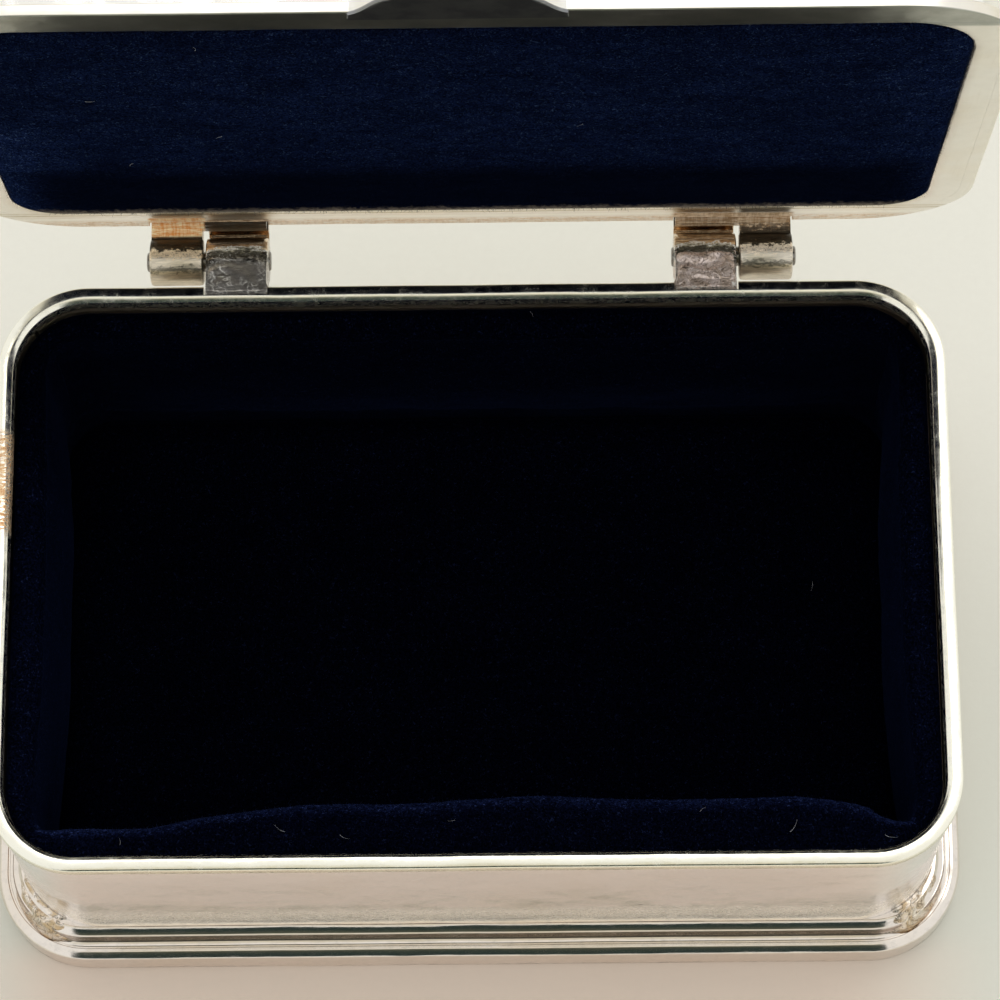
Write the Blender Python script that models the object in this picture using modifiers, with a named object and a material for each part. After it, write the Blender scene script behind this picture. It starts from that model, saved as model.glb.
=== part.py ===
"""Silver-plated trinket box: a moulded base and a cushion lid on two stand-off hinges, lined with velvet.

Metres, +Z up. The origin is the centre of the underside, +Y points to the hinges, and the lid stands open
against the stops of its hinges. Lid pieces are modelled in the closed position around the hinge axis and
are children of an empty on that axis, which holds the opening angle.
"""

import math

import bmesh
import bpy
from mathutils import Matrix, Vector

# Base: outer size over the rim bead, height of the rim's crest
BOX_WIDTH = 0.0900
BOX_DEPTH = 0.0570
RIM_HEIGHT = 0.0330
RIM_CORNER_RADIUS = 0.0084

# Sheet and wire that the base is made of
PLATE_THICKNESS = 0.0009
WALL_THICKNESS = 0.0009
RIM_BEAD_WIDTH = 0.0016
RIM_BEAD_HEIGHT = 0.0015
RIM_BEAD_ROUND = 0.0009
RIM_BEAD_PROUD = 0.0003
SOLDER_SEAM = 0.00015

# Foot moulding, from the table up: plain band, ovolo, groove, flat step, bead and cove
FOOT_BAND_HEIGHT = 0.0040
FOOT_OVOLO_WIDTH = 0.00095
FOOT_OVOLO_RISE = 0.00085
FOOT_GROOVE_WIDTH = 0.00015
FOOT_GROOVE_DEPTH = 0.00015
FOOT_STEP_WIDTH = 0.0004
FOOT_BEAD_WIDTH = 0.00065
FOOT_BEAD_RISE = 0.00105
FOOT_COVE_WIDTH = 0.00045
FOOT_COVE_RISE = 0.0006
FOOT_EDGE = 0.0002
FOOT_LEDGE = 0.00005
FOOT_CORNER_RADIUS = 0.0090

# Hinges: the axis is behind the rim's outer face and below its crest
HINGE_SETBACK = 0.0037
HINGE_DROP = 0.0031
HINGE_INNER_X = 0.0195
BODY_KNUCKLE_LENGTH = 0.0060
LID_KNUCKLE_LENGTH = 0.0051
KNUCKLE_GAP = 0.0003
BARREL_RADIUS = 0.0023
BARREL_ROUNDING = 0.0003
PIN_RADIUS = 0.00095
PIN_CLEARANCE = 0.00008
PIN_OUTER_END = 0.00035
PIN_INNER_END = 0.0002
PIN_ROUNDING = 0.00015
FACE_INSET = 0.0001

# Bearer of the body knuckle, let into the rim bead and soldered to the wall
BEARER_REACH = 0.00075
BEARER_RISE = 0.0029
BEARER_TONGUE = 0.00115
BEARER_DEPTH = 0.0016
BEARER_CREST = 0.00005
BEARER_CORNER = 0.0013
HEEL_REACH = 0.0040
HEEL_THICKNESS = 0.0021
HEEL_GROOVE = 0.0012
STOP_GAP = 0.00015

# Lid: land plane above the rim, overhang round the rim, bead, frame and sheet
OPENING = math.radians(84.4)
LID_REST_GAP = 0.0001
LID_OVERHANG = 0.0023
LAND_FRONT = 0.0042
LAND_SIDE = 0.0039
LAND_BACK = 0.0036
LAND_FRONT_RADIUS = 0.0065
LAND_BACK_RADIUS = 0.0048
LID_BEAD_WIDTH = 0.00125
LID_BEAD_DROP = 0.0001
LID_BEAD_HEIGHT = 0.0012
LID_BEAD_EDGE = 0.00045
FRAME_THICKNESS = 0.0009
FRAME_EDGE = 0.0001
LID_SHEET = 0.0008
LID_SIDE_INSET = 0.0009
LID_SIDE_HEIGHT = 0.0018
LID_SHOULDER_RADIUS = 0.0022
LID_SHOULDER_SWEEP = math.radians(75)
LID_CROWN_RISE = 0.0026
LID_CROWN_POWER = 2.2
LID_CROWN_STEPS = (0.07, 0.17, 0.30, 0.45, 0.60, 0.75, 0.90)

# Leaf that carries each lid knuckle, soldered behind the lid's edge and let into its bead
LEAF_OUTER_FACE = 0.0002
LEAF_BOTTOM = 0.0030
LEAF_HEIGHT = 0.0042
LEAF_TONGUE = 0.0006
LEAF_TONGUE_DROP = 0.0001
LEAF_TAPER = 0.0008
WEB_BACK = 0.0009
WEB_FOOT = 0.0008

# Thumbpiece on the lid's front edge
THUMB_ROOT_WIDTH = 0.0168
THUMB_TIP_WIDTH = 0.0106
THUMB_REACH = 0.0042
THUMB_THICKNESS = 0.0011
THUMB_EDGE = 0.0002

# Velvet lining: stiffening cards with padded velvet over them
SOFT_GAP = 0.0003
CARD_THICKNESS = 0.0006
CARD_BELOW_VELVET = 0.0017
BARE_RIM = 0.0023
LINING_CORNER = 0.0022
LINING_FOOT = 0.0022
LINING_FOOT_HEIGHT = 0.0062
LINING_BELLY = 0.0008
LINING_FRONT = 0.0040
LINING_BACK = 0.0010
LINING_END = 0.0013
LINING_FRONT_LEFT_POWER = 2.4
LINING_FRONT_RIGHT_POWER = 7
LINING_POWER = 3
FOLD_WAVE = 0.00022
FOLD_COUNT = 3.5
MITRE = math.radians(1.3)
BOARD_THICKNESS = 0.0010
FLOOR_PAD_EDGE = 0.0016
FLOOR_PAD_CROWN = 0.0014
FLOOR_PAD_DRAW = 0.0016
LID_BOARD_THICKNESS = 0.0008
LID_PAD_RECESS = 0.0006
LID_PAD_CROWN = 0.0010
LID_PAD_DRAW = 0.0022

# Facets
CORNER_STEPS = 7
BARREL_SIDES = 32
PIN_SIDES = 24
ARC_STEPS = 4
LINING_STEPS = {"front": 18, "back": 8, "left": 8, "right": 8}

# Outline of the wall's outer face, the base of every ring in the base
WALL_HALF_X = BOX_WIDTH / 2 - RIM_BEAD_PROUD
WALL_HALF_Y = BOX_DEPTH / 2 - RIM_BEAD_PROUD
WALL_RADIUS = RIM_CORNER_RADIUS - RIM_BEAD_PROUD
FOOT_OVERHANG = FOOT_OVOLO_WIDTH + FOOT_GROOVE_WIDTH + FOOT_STEP_WIDTH + FOOT_BEAD_WIDTH + FOOT_COVE_WIDTH
WALL_TOP = RIM_HEIGHT - RIM_BEAD_HEIGHT - SOLDER_SEAM

# Outline of the lid, whose pieces are placed from the hinge axis
LID_HALF_X = BOX_WIDTH / 2 + LID_OVERHANG
LID_HALF_Y = BOX_DEPTH / 2 + LID_OVERHANG
LID_RADIUS = RIM_CORNER_RADIUS + LID_OVERHANG
LID_CENTRE_Y = -(HINGE_SETBACK + BOX_DEPTH / 2)
LID_BACK = HINGE_SETBACK - LID_OVERHANG
LAND_LEVEL = HINGE_DROP + LID_REST_GAP
LID_BEAD_TOP = LAND_LEVEL - LID_BEAD_DROP + LID_BEAD_HEIGHT
LID_SIDE_BOTTOM = LID_BEAD_TOP + SOLDER_SEAM
OPENING_SHIFT = (LAND_FRONT - LAND_BACK) / 2

AXIS_Y = BOX_DEPTH / 2 + HINGE_SETBACK
AXIS_Z = RIM_HEIGHT - HINGE_DROP

SILVER = ("silver_plate", (0.86, 0.83, 0.78), 0.16, 1.0)
WORN_SILVER = ("worn_silver_plate", (0.74, 0.64, 0.52), 0.30, 1.0)
STEEL = ("hinge_pin_metal", (0.70, 0.69, 0.66), 0.25, 1.0)
VELVET = ("navy_velvet", (0.004, 0.006, 0.030), 0.95, 0.0)
CARD = ("lining_card", (0.36, 0.31, 0.24), 0.90, 0.0)


def clear_scene():
    for old in list(bpy.data.objects):
        bpy.data.objects.remove(old, do_unlink=True)


def make_collection(name):
    collection = bpy.data.collections.new(name)
    bpy.context.scene.collection.children.link(collection)
    return collection


clear_scene()
PARTS = make_collection("trinket_box")
CUTTERS = make_collection("trinket_box_cutters")


def finish_of(name, look):
    """A Principled material of its own for each piece."""
    label, colour, roughness, metallic = look
    material = bpy.data.materials.new(f"{name}_{label}")
    material.use_nodes = True
    shader = material.node_tree.nodes["Principled BSDF"]
    shader.inputs["Base Color"].default_value = (*colour, 1.0)
    shader.inputs["Roughness"].default_value = roughness
    shader.inputs["Metallic"].default_value = metallic
    material.diffuse_color = (*colour, 1.0)
    return material


def add_part(name, data, look, parent=None):
    part = bpy.data.objects.new(name, data)
    PARTS.objects.link(part)
    part.parent = parent
    part.data.materials.append(finish_of(name, look))
    return part


def add_helper(name, data, parent=None):
    """A cutter, a piece that a Boolean joins in, or a guide curve."""
    helper = bpy.data.objects.new(name, data)
    CUTTERS.objects.link(helper)
    helper.parent = parent
    helper.hide_render = True
    helper.display_type = "WIRE"
    return helper


def boolean(part, other, operation):
    modifier = part.modifiers.new(other.name, "BOOLEAN")
    modifier.operation = operation
    modifier.object = other
    modifier.solver = "EXACT"


def smooth(mesh, angle=math.radians(35)):
    mesh.shade_smooth()
    mesh.set_sharp_from_angle(angle=angle)


def arc(centre, radius_x, radius_z, start, end, steps=ARC_STEPS):
    """Points of an elliptic arc, angles in degrees."""
    points = []
    for step in range(steps + 1):
        angle = math.radians(start + (end - start) * step / steps)
        points.append((centre[0] + radius_x * math.cos(angle), centre[1] + radius_z * math.sin(angle)))
    return points


def rounded_outline(half_x, half_y, radius, front_radius=None, steps=CORNER_STEPS):
    """Points of a rounded rectangle, clockwise from above; its two front corners can differ."""
    points = []
    for x_side, y_side, start in ((1, 1, 90), (1, -1, 0), (-1, -1, -90), (-1, 1, -180)):
        corner = front_radius if front_radius and y_side < 0 else radius
        centre = (x_side * (half_x - corner), y_side * (half_y - corner))
        points += arc(centre, corner, corner, start, start - 90, steps)
    return points


def outline_curve(name, points):
    curve = bpy.data.curves.new(name, "CURVE")
    curve.dimensions = "2D"
    add_spline(curve, points)
    return curve


def add_spline(curve, points):
    spline = curve.splines.new("POLY")
    spline.points.add(len(points) - 1)
    for point, (x, y) in zip(spline.points, points):
        point.co = (x, y, 0, 1)
    spline.use_cyclic_u = True


def mesh_of(curve, name):
    """The closed mesh of a curve, for pieces that Booleans cut or join."""
    holder = bpy.data.objects.new(name, curve)
    bpy.context.scene.collection.objects.link(holder)
    bpy.context.view_layer.update()
    graph = bpy.context.evaluated_depsgraph_get()
    mesh = bpy.data.meshes.new_from_object(holder.evaluated_get(graph))
    mesh.name = name
    bpy.data.objects.remove(holder, do_unlink=True)
    built = bmesh.new()
    built.from_mesh(mesh)
    bmesh.ops.remove_doubles(built, verts=built.verts, dist=1e-7)
    bmesh.ops.recalc_face_normals(built, faces=built.faces)
    built.to_mesh(mesh)
    built.free()
    return mesh


def ring(name, outline, profile):
    """A moulding: a closed profile of (outward, height) points swept round a rounded rectangle."""
    inward = [(-out, height) for out, height in profile]
    guide = add_helper(f"{name}_profile", outline_curve(f"{name}_profile", inward))
    curve = outline_curve(name, outline)
    curve.bevel_mode = "OBJECT"
    curve.bevel_object = guide
    mesh = mesh_of(curve, name)
    smooth(mesh)
    return mesh


def slab(name, outline, thickness, edge=0.0, hole=None):
    """A flat outline with its given thickness, centred on z = 0, with rounded edges if an edge is given."""
    curve = outline_curve(name, outline)
    if hole:
        add_spline(curve, hole)
    curve.fill_mode = "BOTH"
    curve.extrude = thickness / 2 - edge
    if edge:
        curve.bevel_depth = edge
        curve.bevel_resolution = 1
        curve.offset = -edge
    mesh = mesh_of(curve, name)
    smooth(mesh)
    return mesh


def loft(name, sections, closed=False):
    """A solid through closed sections of equal point counts, with flat ends."""
    built = bmesh.new()
    loops = []
    for section in sections:
        corners = [built.verts.new(point) for point in section]
        count = len(corners)
        loops.append([built.edges.new((corners[i], corners[(i + 1) % count])) for i in range(count)])
    for first, second in zip(loops, loops[1:]):
        bmesh.ops.bridge_loops(built, edges=first + second)
    if not closed:
        bmesh.ops.contextual_create(built, geom=loops[0])
    bmesh.ops.contextual_create(built, geom=loops[-1])
    bmesh.ops.recalc_face_normals(built, faces=built.faces)
    mesh = bpy.data.meshes.new(name)
    built.to_mesh(mesh)
    built.free()
    smooth(mesh)
    return mesh


def prism(name, outline, x_low, x_high, parent=None, rounded=()):
    """An outline of (y, z) points extruded along X; the corners whose numbers are given are rounded."""
    mesh = slab(name, outline, x_high - x_low)
    built = bmesh.new()
    built.from_mesh(mesh)
    bmesh.ops.dissolve_limit(built, angle_limit=math.radians(1), verts=built.verts, edges=built.edges)
    half = (x_high - x_low) / 2
    for number in rounded:
        y, z = outline[number]
        corner = []
        for edge in built.edges:
            lies_flat = all(abs(abs(v.co.z) - half) < 1e-7 for v in edge.verts)
            if not lies_flat or edge.verts[0].co.z * edge.verts[1].co.z < 0:
                continue
            ends = [(outline[number - 1], (y, z)), ((y, z), outline[(number + 1) % len(outline)])]
            for first, second in ends[1:]:
                at_first = any(math.dist(v.co.xy, first) < 1e-7 for v in edge.verts)
                at_second = any(math.dist(v.co.xy, second) < 1e-7 for v in edge.verts)
                if at_first and at_second:
                    corner.append(edge)
        bmesh.ops.bevel(built, geom=corner, offset=BEARER_CORNER, segments=4, profile=0.5, affect="EDGES")
    built.to_mesh(mesh)
    built.free()
    helper = add_helper(name, mesh, parent)
    along_x = Matrix(((0, 0, 1, 0), (1, 0, 0, 0), (0, 1, 0, 0), (0, 0, 0, 1)))
    helper.matrix_local = Matrix.Translation(((x_low + x_high) / 2, 0, 0)) @ along_x
    return helper


def cylinder_x(name, radius, x_low, x_high, sides, rounding=0.0):
    """A cylinder along X round the local axis, with rounded rims."""
    built = bmesh.new()
    bmesh.ops.create_cone(
        built,
        cap_ends=True,
        segments=sides,
        radius1=radius,
        radius2=radius,
        depth=x_high - x_low,
        matrix=Matrix.Translation(((x_low + x_high) / 2, 0, 0)) @ Matrix.Rotation(math.radians(90), 4, "Y"),
    )
    if rounding:
        rims = [edge for edge in built.edges if abs(edge.verts[0].co.x - edge.verts[1].co.x) < 1e-7]
        bmesh.ops.bevel(built, geom=rims, offset=rounding, segments=2, profile=0.5, affect="EDGES")
    mesh = bpy.data.meshes.new(name)
    built.to_mesh(mesh)
    built.free()
    smooth(mesh)
    return mesh


def box_cutter(name, low, high, parent=None):
    built = bmesh.new()
    size = [b - a for a, b in zip(low, high)]
    centre = [(a + b) / 2 for a, b in zip(low, high)]
    bmesh.ops.create_cube(built, size=1.0, matrix=Matrix.Translation(centre) @ Matrix.Diagonal((*size, 1.0)))
    mesh = bpy.data.meshes.new(name)
    built.to_mesh(mesh)
    built.free()
    return add_helper(name, mesh, parent)


def span(side, near, far):
    """The low and high X of a stretch from near to far on one side of the middle."""
    return sorted((side * near, side * far))


def wall_outline(grow=0.0):
    return rounded_outline(WALL_HALF_X + grow, WALL_HALF_Y + grow, WALL_RADIUS + grow)


def lid_outline(grow=0.0):
    return rounded_outline(LID_HALF_X + grow, LID_HALF_Y + grow, LID_RADIUS + grow)


def land_opening(inset=0.0):
    """The opening in the lid's land, narrower at the front than at the hinges, around its own centre."""
    half_x = LID_HALF_X - LAND_SIDE - inset
    half_y = LID_HALF_Y - (LAND_FRONT + LAND_BACK) / 2 - inset
    back_radius = max(LAND_BACK_RADIUS - inset, LAND_BACK_RADIUS * 0.4)
    front_radius = max(LAND_FRONT_RADIUS - inset, LAND_FRONT_RADIUS * 0.4)
    return [(x, y + OPENING_SHIFT) for x, y in rounded_outline(half_x, half_y, back_radius, front_radius)]


def make_empty(name, location, turn):
    empty = bpy.data.objects.new(name, None)
    PARTS.objects.link(empty)
    empty.location = location
    empty.rotation_euler = (turn, 0, 0)
    empty.empty_display_size = 0.01
    return empty


HINGE_AXIS = make_empty("hinge_axis", (0, AXIS_Y, AXIS_Z), 0)
LID_PIVOT = make_empty("lid_pivot", (0, AXIS_Y, AXIS_Z), -OPENING)


# Base metalwork


def make_base_plate():
    plate = add_part("base_plate", slab("base_plate", wall_outline(), PLATE_THICKNESS), SILVER)
    plate.location.z = PLATE_THICKNESS / 2


def make_base_wall():
    bottom = PLATE_THICKNESS + SOLDER_SEAM
    profile = [(-WALL_THICKNESS, bottom), (0, bottom), (0, WALL_TOP), (-WALL_THICKNESS, WALL_TOP)]
    add_part("base_wall", ring("base_wall", wall_outline(), profile), SILVER)


def rim_bead_profile():
    outer = RIM_BEAD_PROUD
    inner = RIM_BEAD_PROUD - RIM_BEAD_WIDTH
    low = RIM_HEIGHT - RIM_BEAD_HEIGHT
    centre = ((outer + inner) / 2, RIM_HEIGHT - RIM_BEAD_ROUND)
    crown = arc(centre, RIM_BEAD_WIDTH / 2, RIM_BEAD_ROUND, 0, 180, 2 * ARC_STEPS)
    return [(inner, low), (outer, low), *crown]


def make_rim_bead():
    bead = add_part("rim_bead", ring("rim_bead", wall_outline(), rim_bead_profile()), SILVER)
    back = BOX_DEPTH / 2
    for label, side in (("left", -1), ("right", 1)):
        near = HINGE_INNER_X + FACE_INSET - SOLDER_SEAM
        far = HINGE_INNER_X + BODY_KNUCKLE_LENGTH - FACE_INSET + SOLDER_SEAM
        low_x, high_x = span(side, near, far)
        notch = box_cutter(
            f"rim_notch_{label}",
            (low_x, back - BEARER_REACH - SOLDER_SEAM, RIM_HEIGHT - 2 * RIM_BEAD_HEIGHT),
            (high_x, back + RIM_BEAD_WIDTH, RIM_HEIGHT + RIM_BEAD_HEIGHT),
        )
        boolean(bead, notch, "DIFFERENCE")


def foot_profile(fill):
    """From the inner bottom corner, as (outward from the wall, height), with solder filled in behind."""
    out = FOOT_OVERHANG
    shelf = FOOT_BAND_HEIGHT + FOOT_OVOLO_RISE
    groove_out = out - FOOT_OVOLO_WIDTH
    groove_in = groove_out - FOOT_GROOVE_WIDTH
    groove_floor = shelf - FOOT_GROOVE_DEPTH
    cove_floor = shelf + FOOT_BEAD_RISE
    cove_width = FOOT_COVE_WIDTH - SOLDER_SEAM - FOOT_LEDGE
    profile = [(-fill, 0), (out - FOOT_EDGE, 0), (out, FOOT_EDGE)]
    profile += arc((groove_out, FOOT_BAND_HEIGHT), FOOT_OVOLO_WIDTH, FOOT_OVOLO_RISE, 0, 90)
    profile += [(groove_out, groove_floor), (groove_in, groove_floor), (groove_in, shelf)]
    profile += arc((FOOT_COVE_WIDTH, shelf), FOOT_BEAD_WIDTH, FOOT_BEAD_RISE, 0, 90)
    profile += arc((FOOT_COVE_WIDTH, cove_floor + FOOT_COVE_RISE), cove_width, FOOT_COVE_RISE, -90, -180, 3)[1:]
    return profile + [(-fill, cove_floor + FOOT_COVE_RISE)]


def make_foot_moulding():
    """The moulding turns tighter corners than the wall, and solder fills the gap that this leaves."""
    radius = FOOT_CORNER_RADIUS - FOOT_OVERHANG
    fill = abs(WALL_RADIUS - radius) + WALL_THICKNESS
    outline = rounded_outline(WALL_HALF_X, WALL_HALF_Y, radius)
    foot = add_part("foot_moulding", ring("foot_moulding", outline, foot_profile(fill)), SILVER)
    height = FOOT_BAND_HEIGHT + FOOT_OVOLO_RISE + FOOT_BEAD_RISE + FOOT_COVE_RISE
    core = add_helper("wall_core", slab("wall_core", wall_outline(SOLDER_SEAM), 4 * height))
    boolean(foot, core, "DIFFERENCE")


# Hinges


def opened(height, outward):
    """A (y, z) point of the open lid's frame, given from the hinge axis up the lid and out behind it."""
    y = -height * math.cos(OPENING) + outward * math.sin(OPENING)
    z = height * math.sin(OPENING) + outward * math.cos(OPENING)
    return (y, z)


def make_body_knuckle(label, side):
    """Barrel with its bearer to the wall and rim in front, and the stop heel for the lid's leaf behind."""
    x_low, x_high = span(side, HINGE_INNER_X, HINGE_INNER_X + BODY_KNUCKLE_LENGTH)
    name = f"body_knuckle_{label}"
    barrel = cylinder_x(name, BARREL_RADIUS, x_low, x_high, BARREL_SIDES, BARREL_ROUNDING)
    knuckle = add_part(name, barrel, WORN_SILVER, HINGE_AXIS)
    wall_face = SOLDER_SEAM - RIM_BEAD_PROUD - HINGE_SETBACK
    tongue_end = -BEARER_REACH - HINGE_SETBACK
    bearer = [
        (tongue_end, BEARER_RISE),
        (tongue_end, BEARER_RISE - BEARER_TONGUE),
        (wall_face, BEARER_RISE - BEARER_TONGUE),
        (wall_face, -BEARER_DEPTH),
        (-BARREL_RADIUS / 2, -BEARER_DEPTH),
        (BARREL_RADIUS / 8, BARREL_RADIUS / 2),
        (BARREL_RADIUS / 8, BARREL_RADIUS + BEARER_CREST),
    ]
    inner_low, inner_high = x_low + FACE_INSET, x_high - FACE_INSET
    boolean(knuckle, prism(f"bearer_{label}", bearer, inner_low, inner_high, HINGE_AXIS, rounded=(5,)), "UNION")
    rest = LEAF_OUTER_FACE - STOP_GAP
    groove = rest - HEEL_GROOVE
    under = rest - HEEL_THICKNESS
    heel = [
        opened(under, BARREL_RADIUS * 0.4),
        opened(under, HEEL_REACH - HEEL_THICKNESS / 2),
        opened(groove, HEEL_REACH),
        opened(rest, HEEL_REACH),
        opened(rest, LEAF_BOTTOM + STOP_GAP),
        opened(groove, LEAF_BOTTOM),
        opened(groove, BARREL_RADIUS * 0.8),
    ]
    boolean(knuckle, prism(f"heel_{label}", heel, inner_low, inner_high, HINGE_AXIS), "UNION")
    boolean(knuckle, pin_hole(f"body_pin_hole_{label}", x_low, x_high, HINGE_AXIS), "DIFFERENCE")


def pin_hole(name, x_low, x_high, parent):
    radius = PIN_RADIUS + PIN_CLEARANCE
    return add_helper(name, cylinder_x(name, radius, x_low - radius, x_high + radius, PIN_SIDES), parent)


def make_pin(label, side):
    far = HINGE_INNER_X + BODY_KNUCKLE_LENGTH + KNUCKLE_GAP + LID_KNUCKLE_LENGTH
    x_low, x_high = span(side, HINGE_INNER_X - PIN_INNER_END, far + PIN_OUTER_END)
    name = f"hinge_pin_{label}"
    add_part(name, cylinder_x(name, PIN_RADIUS, x_low, x_high, PIN_SIDES, PIN_ROUNDING), STEEL, HINGE_AXIS)


def make_lid_hinge(label, side):
    """Barrel, web and leaf in one piece, in the closed lid's frame round the axis."""
    near = HINGE_INNER_X + BODY_KNUCKLE_LENGTH + KNUCKLE_GAP
    far = near + LID_KNUCKLE_LENGTH
    x_low, x_high = span(side, near, far)
    name = f"lid_hinge_{label}"
    barrel = cylinder_x(name, BARREL_RADIUS, x_low, x_high, BARREL_SIDES, BARREL_ROUNDING)
    hinge = add_part(name, barrel, WORN_SILVER, LID_PIVOT)
    face = SOLDER_SEAM - LID_BACK
    web_face = face + FACE_INSET
    web = [
        (WEB_BACK, WEB_FOOT),
        (WEB_BACK, LEAF_BOTTOM + LEAF_TAPER),
        (web_face, LEAF_BOTTOM + LEAF_TAPER),
        (web_face, WEB_FOOT),
    ]
    boolean(hinge, prism(f"web_{label}", web, x_low + FACE_INSET, x_high - FACE_INSET, LID_PIVOT), "UNION")
    tongue = face - SOLDER_SEAM - LEAF_TONGUE
    side_face = SOLDER_SEAM - LID_BACK - LID_SIDE_INSET
    top = LEAF_BOTTOM + LEAF_HEIGHT
    leaf = [
        (-LEAF_OUTER_FACE, LEAF_BOTTOM),
        (-LEAF_OUTER_FACE, top - LEAF_TAPER),
        (-LEAF_OUTER_FACE - LEAF_TAPER, top),
        (side_face, top),
        (side_face, LID_SIDE_BOTTOM),
        (tongue, LID_BEAD_TOP),
        (tongue, LAND_LEVEL - LEAF_TONGUE_DROP),
        (face - SOLDER_SEAM, LAND_LEVEL - LEAF_TONGUE_DROP),
        (face, LEAF_BOTTOM),
    ]
    leaf_low, leaf_high = span(side, HINGE_INNER_X + 2 * FACE_INSET, far - 2 * FACE_INSET)
    boolean(hinge, prism(f"leaf_{label}", leaf, leaf_low, leaf_high, LID_PIVOT), "UNION")
    boolean(hinge, pin_hole(f"lid_pin_hole_{label}", x_low, x_high, LID_PIVOT), "DIFFERENCE")


# Lid metalwork


def lid_bead_profile():
    """Nearly flat against the land, with a rounded outer edge."""
    low = LAND_LEVEL - LID_BEAD_DROP
    inner = -LID_BEAD_WIDTH
    profile = [(inner, LID_BEAD_TOP), (inner, LAND_LEVEL), (inner + LID_BEAD_DROP, low)]
    profile += arc((-LID_BEAD_EDGE, low + LID_BEAD_EDGE), LID_BEAD_EDGE, LID_BEAD_EDGE, 270, 360)
    corner = LID_BEAD_EDGE / 2
    profile += arc((-corner, LID_BEAD_TOP - corner), corner, corner, 0, 90, 2)
    return profile


def make_lid_bead():
    bead = add_part("lid_bead", ring("lid_bead", lid_outline(), lid_bead_profile()), SILVER, LID_PIVOT)
    bead.location.y = LID_CENTRE_Y
    low_z = LAND_LEVEL - LID_BEAD_HEIGHT
    high_z = LID_BEAD_TOP + LID_BEAD_HEIGHT
    hinge_far = HINGE_INNER_X + BODY_KNUCKLE_LENGTH + KNUCKLE_GAP + LID_KNUCKLE_LENGTH
    for label, side in (("left", -1), ("right", 1)):
        low_x, high_x = span(side, HINGE_INNER_X - SOLDER_SEAM, hinge_far + SOLDER_SEAM)
        low_y = -LID_BACK - LEAF_TONGUE - SOLDER_SEAM
        notch = box_cutter(f"lid_notch_{label}", (low_x, low_y, low_z), (high_x, 0, high_z), LID_PIVOT)
        boolean(bead, notch, "DIFFERENCE")
    half_root = THUMB_ROOT_WIDTH / 2 + SOLDER_SEAM
    front = LID_CENTRE_Y - LID_HALF_Y
    notch = box_cutter(
        "thumb_notch",
        (-half_root, front - LID_BEAD_WIDTH, low_z),
        (half_root, front + 2 * LID_BEAD_WIDTH, high_z),
        LID_PIVOT,
    )
    boolean(bead, notch, "DIFFERENCE")


def make_lid_frame():
    """The flat polished land, a frame round the velvet pad."""
    outer = lid_outline(-LID_BEAD_WIDTH - SOLDER_SEAM)
    plate = slab("lid_frame", outer, FRAME_THICKNESS, FRAME_EDGE, hole=land_opening())
    frame = add_part("lid_frame", plate, SILVER, LID_PIVOT)
    frame.location.y = LID_CENTRE_Y
    frame.location.z = LAND_LEVEL + FRAME_THICKNESS / 2


def dome_outline(inset, height):
    """A rounded rectangle: an offset of the lid's edge at first, and rounder towards the crown."""
    share = inset / LID_HALF_Y
    roundness = 2 * share * share - share
    radius = (1 - share) * (LID_RADIUS + (LID_HALF_Y - LID_RADIUS) * roundness)
    flat = rounded_outline(LID_HALF_X - inset, LID_HALF_Y - inset, radius)
    return [(x, y, height) for x, y in flat]


def lid_rings():
    """(inset, height) of each ring of the lid's outer surface, from its edge to its crown."""
    rings = [(LID_SIDE_INSET, LID_SIDE_BOTTOM)]
    shoulder = LID_SIDE_BOTTOM + LID_SIDE_HEIGHT
    centre = (LID_SIDE_INSET + LID_SHOULDER_RADIUS, shoulder)
    sweep = 180 - math.degrees(LID_SHOULDER_SWEEP)
    rings += arc(centre, LID_SHOULDER_RADIUS, LID_SHOULDER_RADIUS, 180, sweep, 5)
    last_inset, last_height = rings[-1]
    for share in LID_CROWN_STEPS:
        inset = last_inset + share * (LID_HALF_Y - last_inset)
        rings.append((inset, last_height + LID_CROWN_RISE * (1 - (1 - share) ** LID_CROWN_POWER)))
    return rings


def make_lid_shell():
    mesh = loft("lid_shell", [dome_outline(inset, height) for inset, height in lid_rings()], closed=True)
    shell = add_part("lid_shell", mesh, SILVER, LID_PIVOT)
    shell.location.y = LID_CENTRE_Y
    sheet = shell.modifiers.new("sheet", "SOLIDIFY")
    sheet.thickness = LID_SHEET
    sheet.offset = -1
    sheet.use_even_offset = True


def thumb_outline():
    """Root let into the bead, ogee sides and a straight tip, as (x, forward) points."""
    half_root = THUMB_ROOT_WIDTH / 2
    half_tip = THUMB_TIP_WIDTH / 2
    side = [(half_root, -LID_BEAD_WIDTH)]
    steps = 2 * ARC_STEPS
    for step in range(steps + 1):
        share = step / steps
        rise = share * share * (3 - 2 * share)
        side.append((half_root + (half_tip - half_root) * share, THUMB_REACH * rise))
    return side + [(-x, forward) for x, forward in reversed(side)]


def make_thumbpiece():
    front = [(x, -forward) for x, forward in thumb_outline()]
    thumb = add_part("thumbpiece", slab("thumbpiece", front, THUMB_THICKNESS, THUMB_EDGE), SILVER, LID_PIVOT)
    thumb.location.y = LID_CENTRE_Y - LID_HALF_Y
    thumb.location.z = LAND_LEVEL + THUMB_THICKNESS / 2


# Lining of the base

CARD_BOTTOM = PLATE_THICKNESS + SOFT_GAP
VELVET_TOP = RIM_HEIGHT - BARE_RIM
CARD_TOP = VELVET_TOP - CARD_BELOW_VELVET
CARD_FACE = SOFT_GAP + CARD_THICKNESS
SIDES = {
    "back": (0, WALL_HALF_X, WALL_HALF_Y, LINING_BACK),
    "left": (90, WALL_HALF_Y, WALL_HALF_X, LINING_END),
    "front": (180, WALL_HALF_X, WALL_HALF_Y, LINING_FRONT),
    "right": (270, WALL_HALF_Y, WALL_HALF_X, LINING_END),
}


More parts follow.
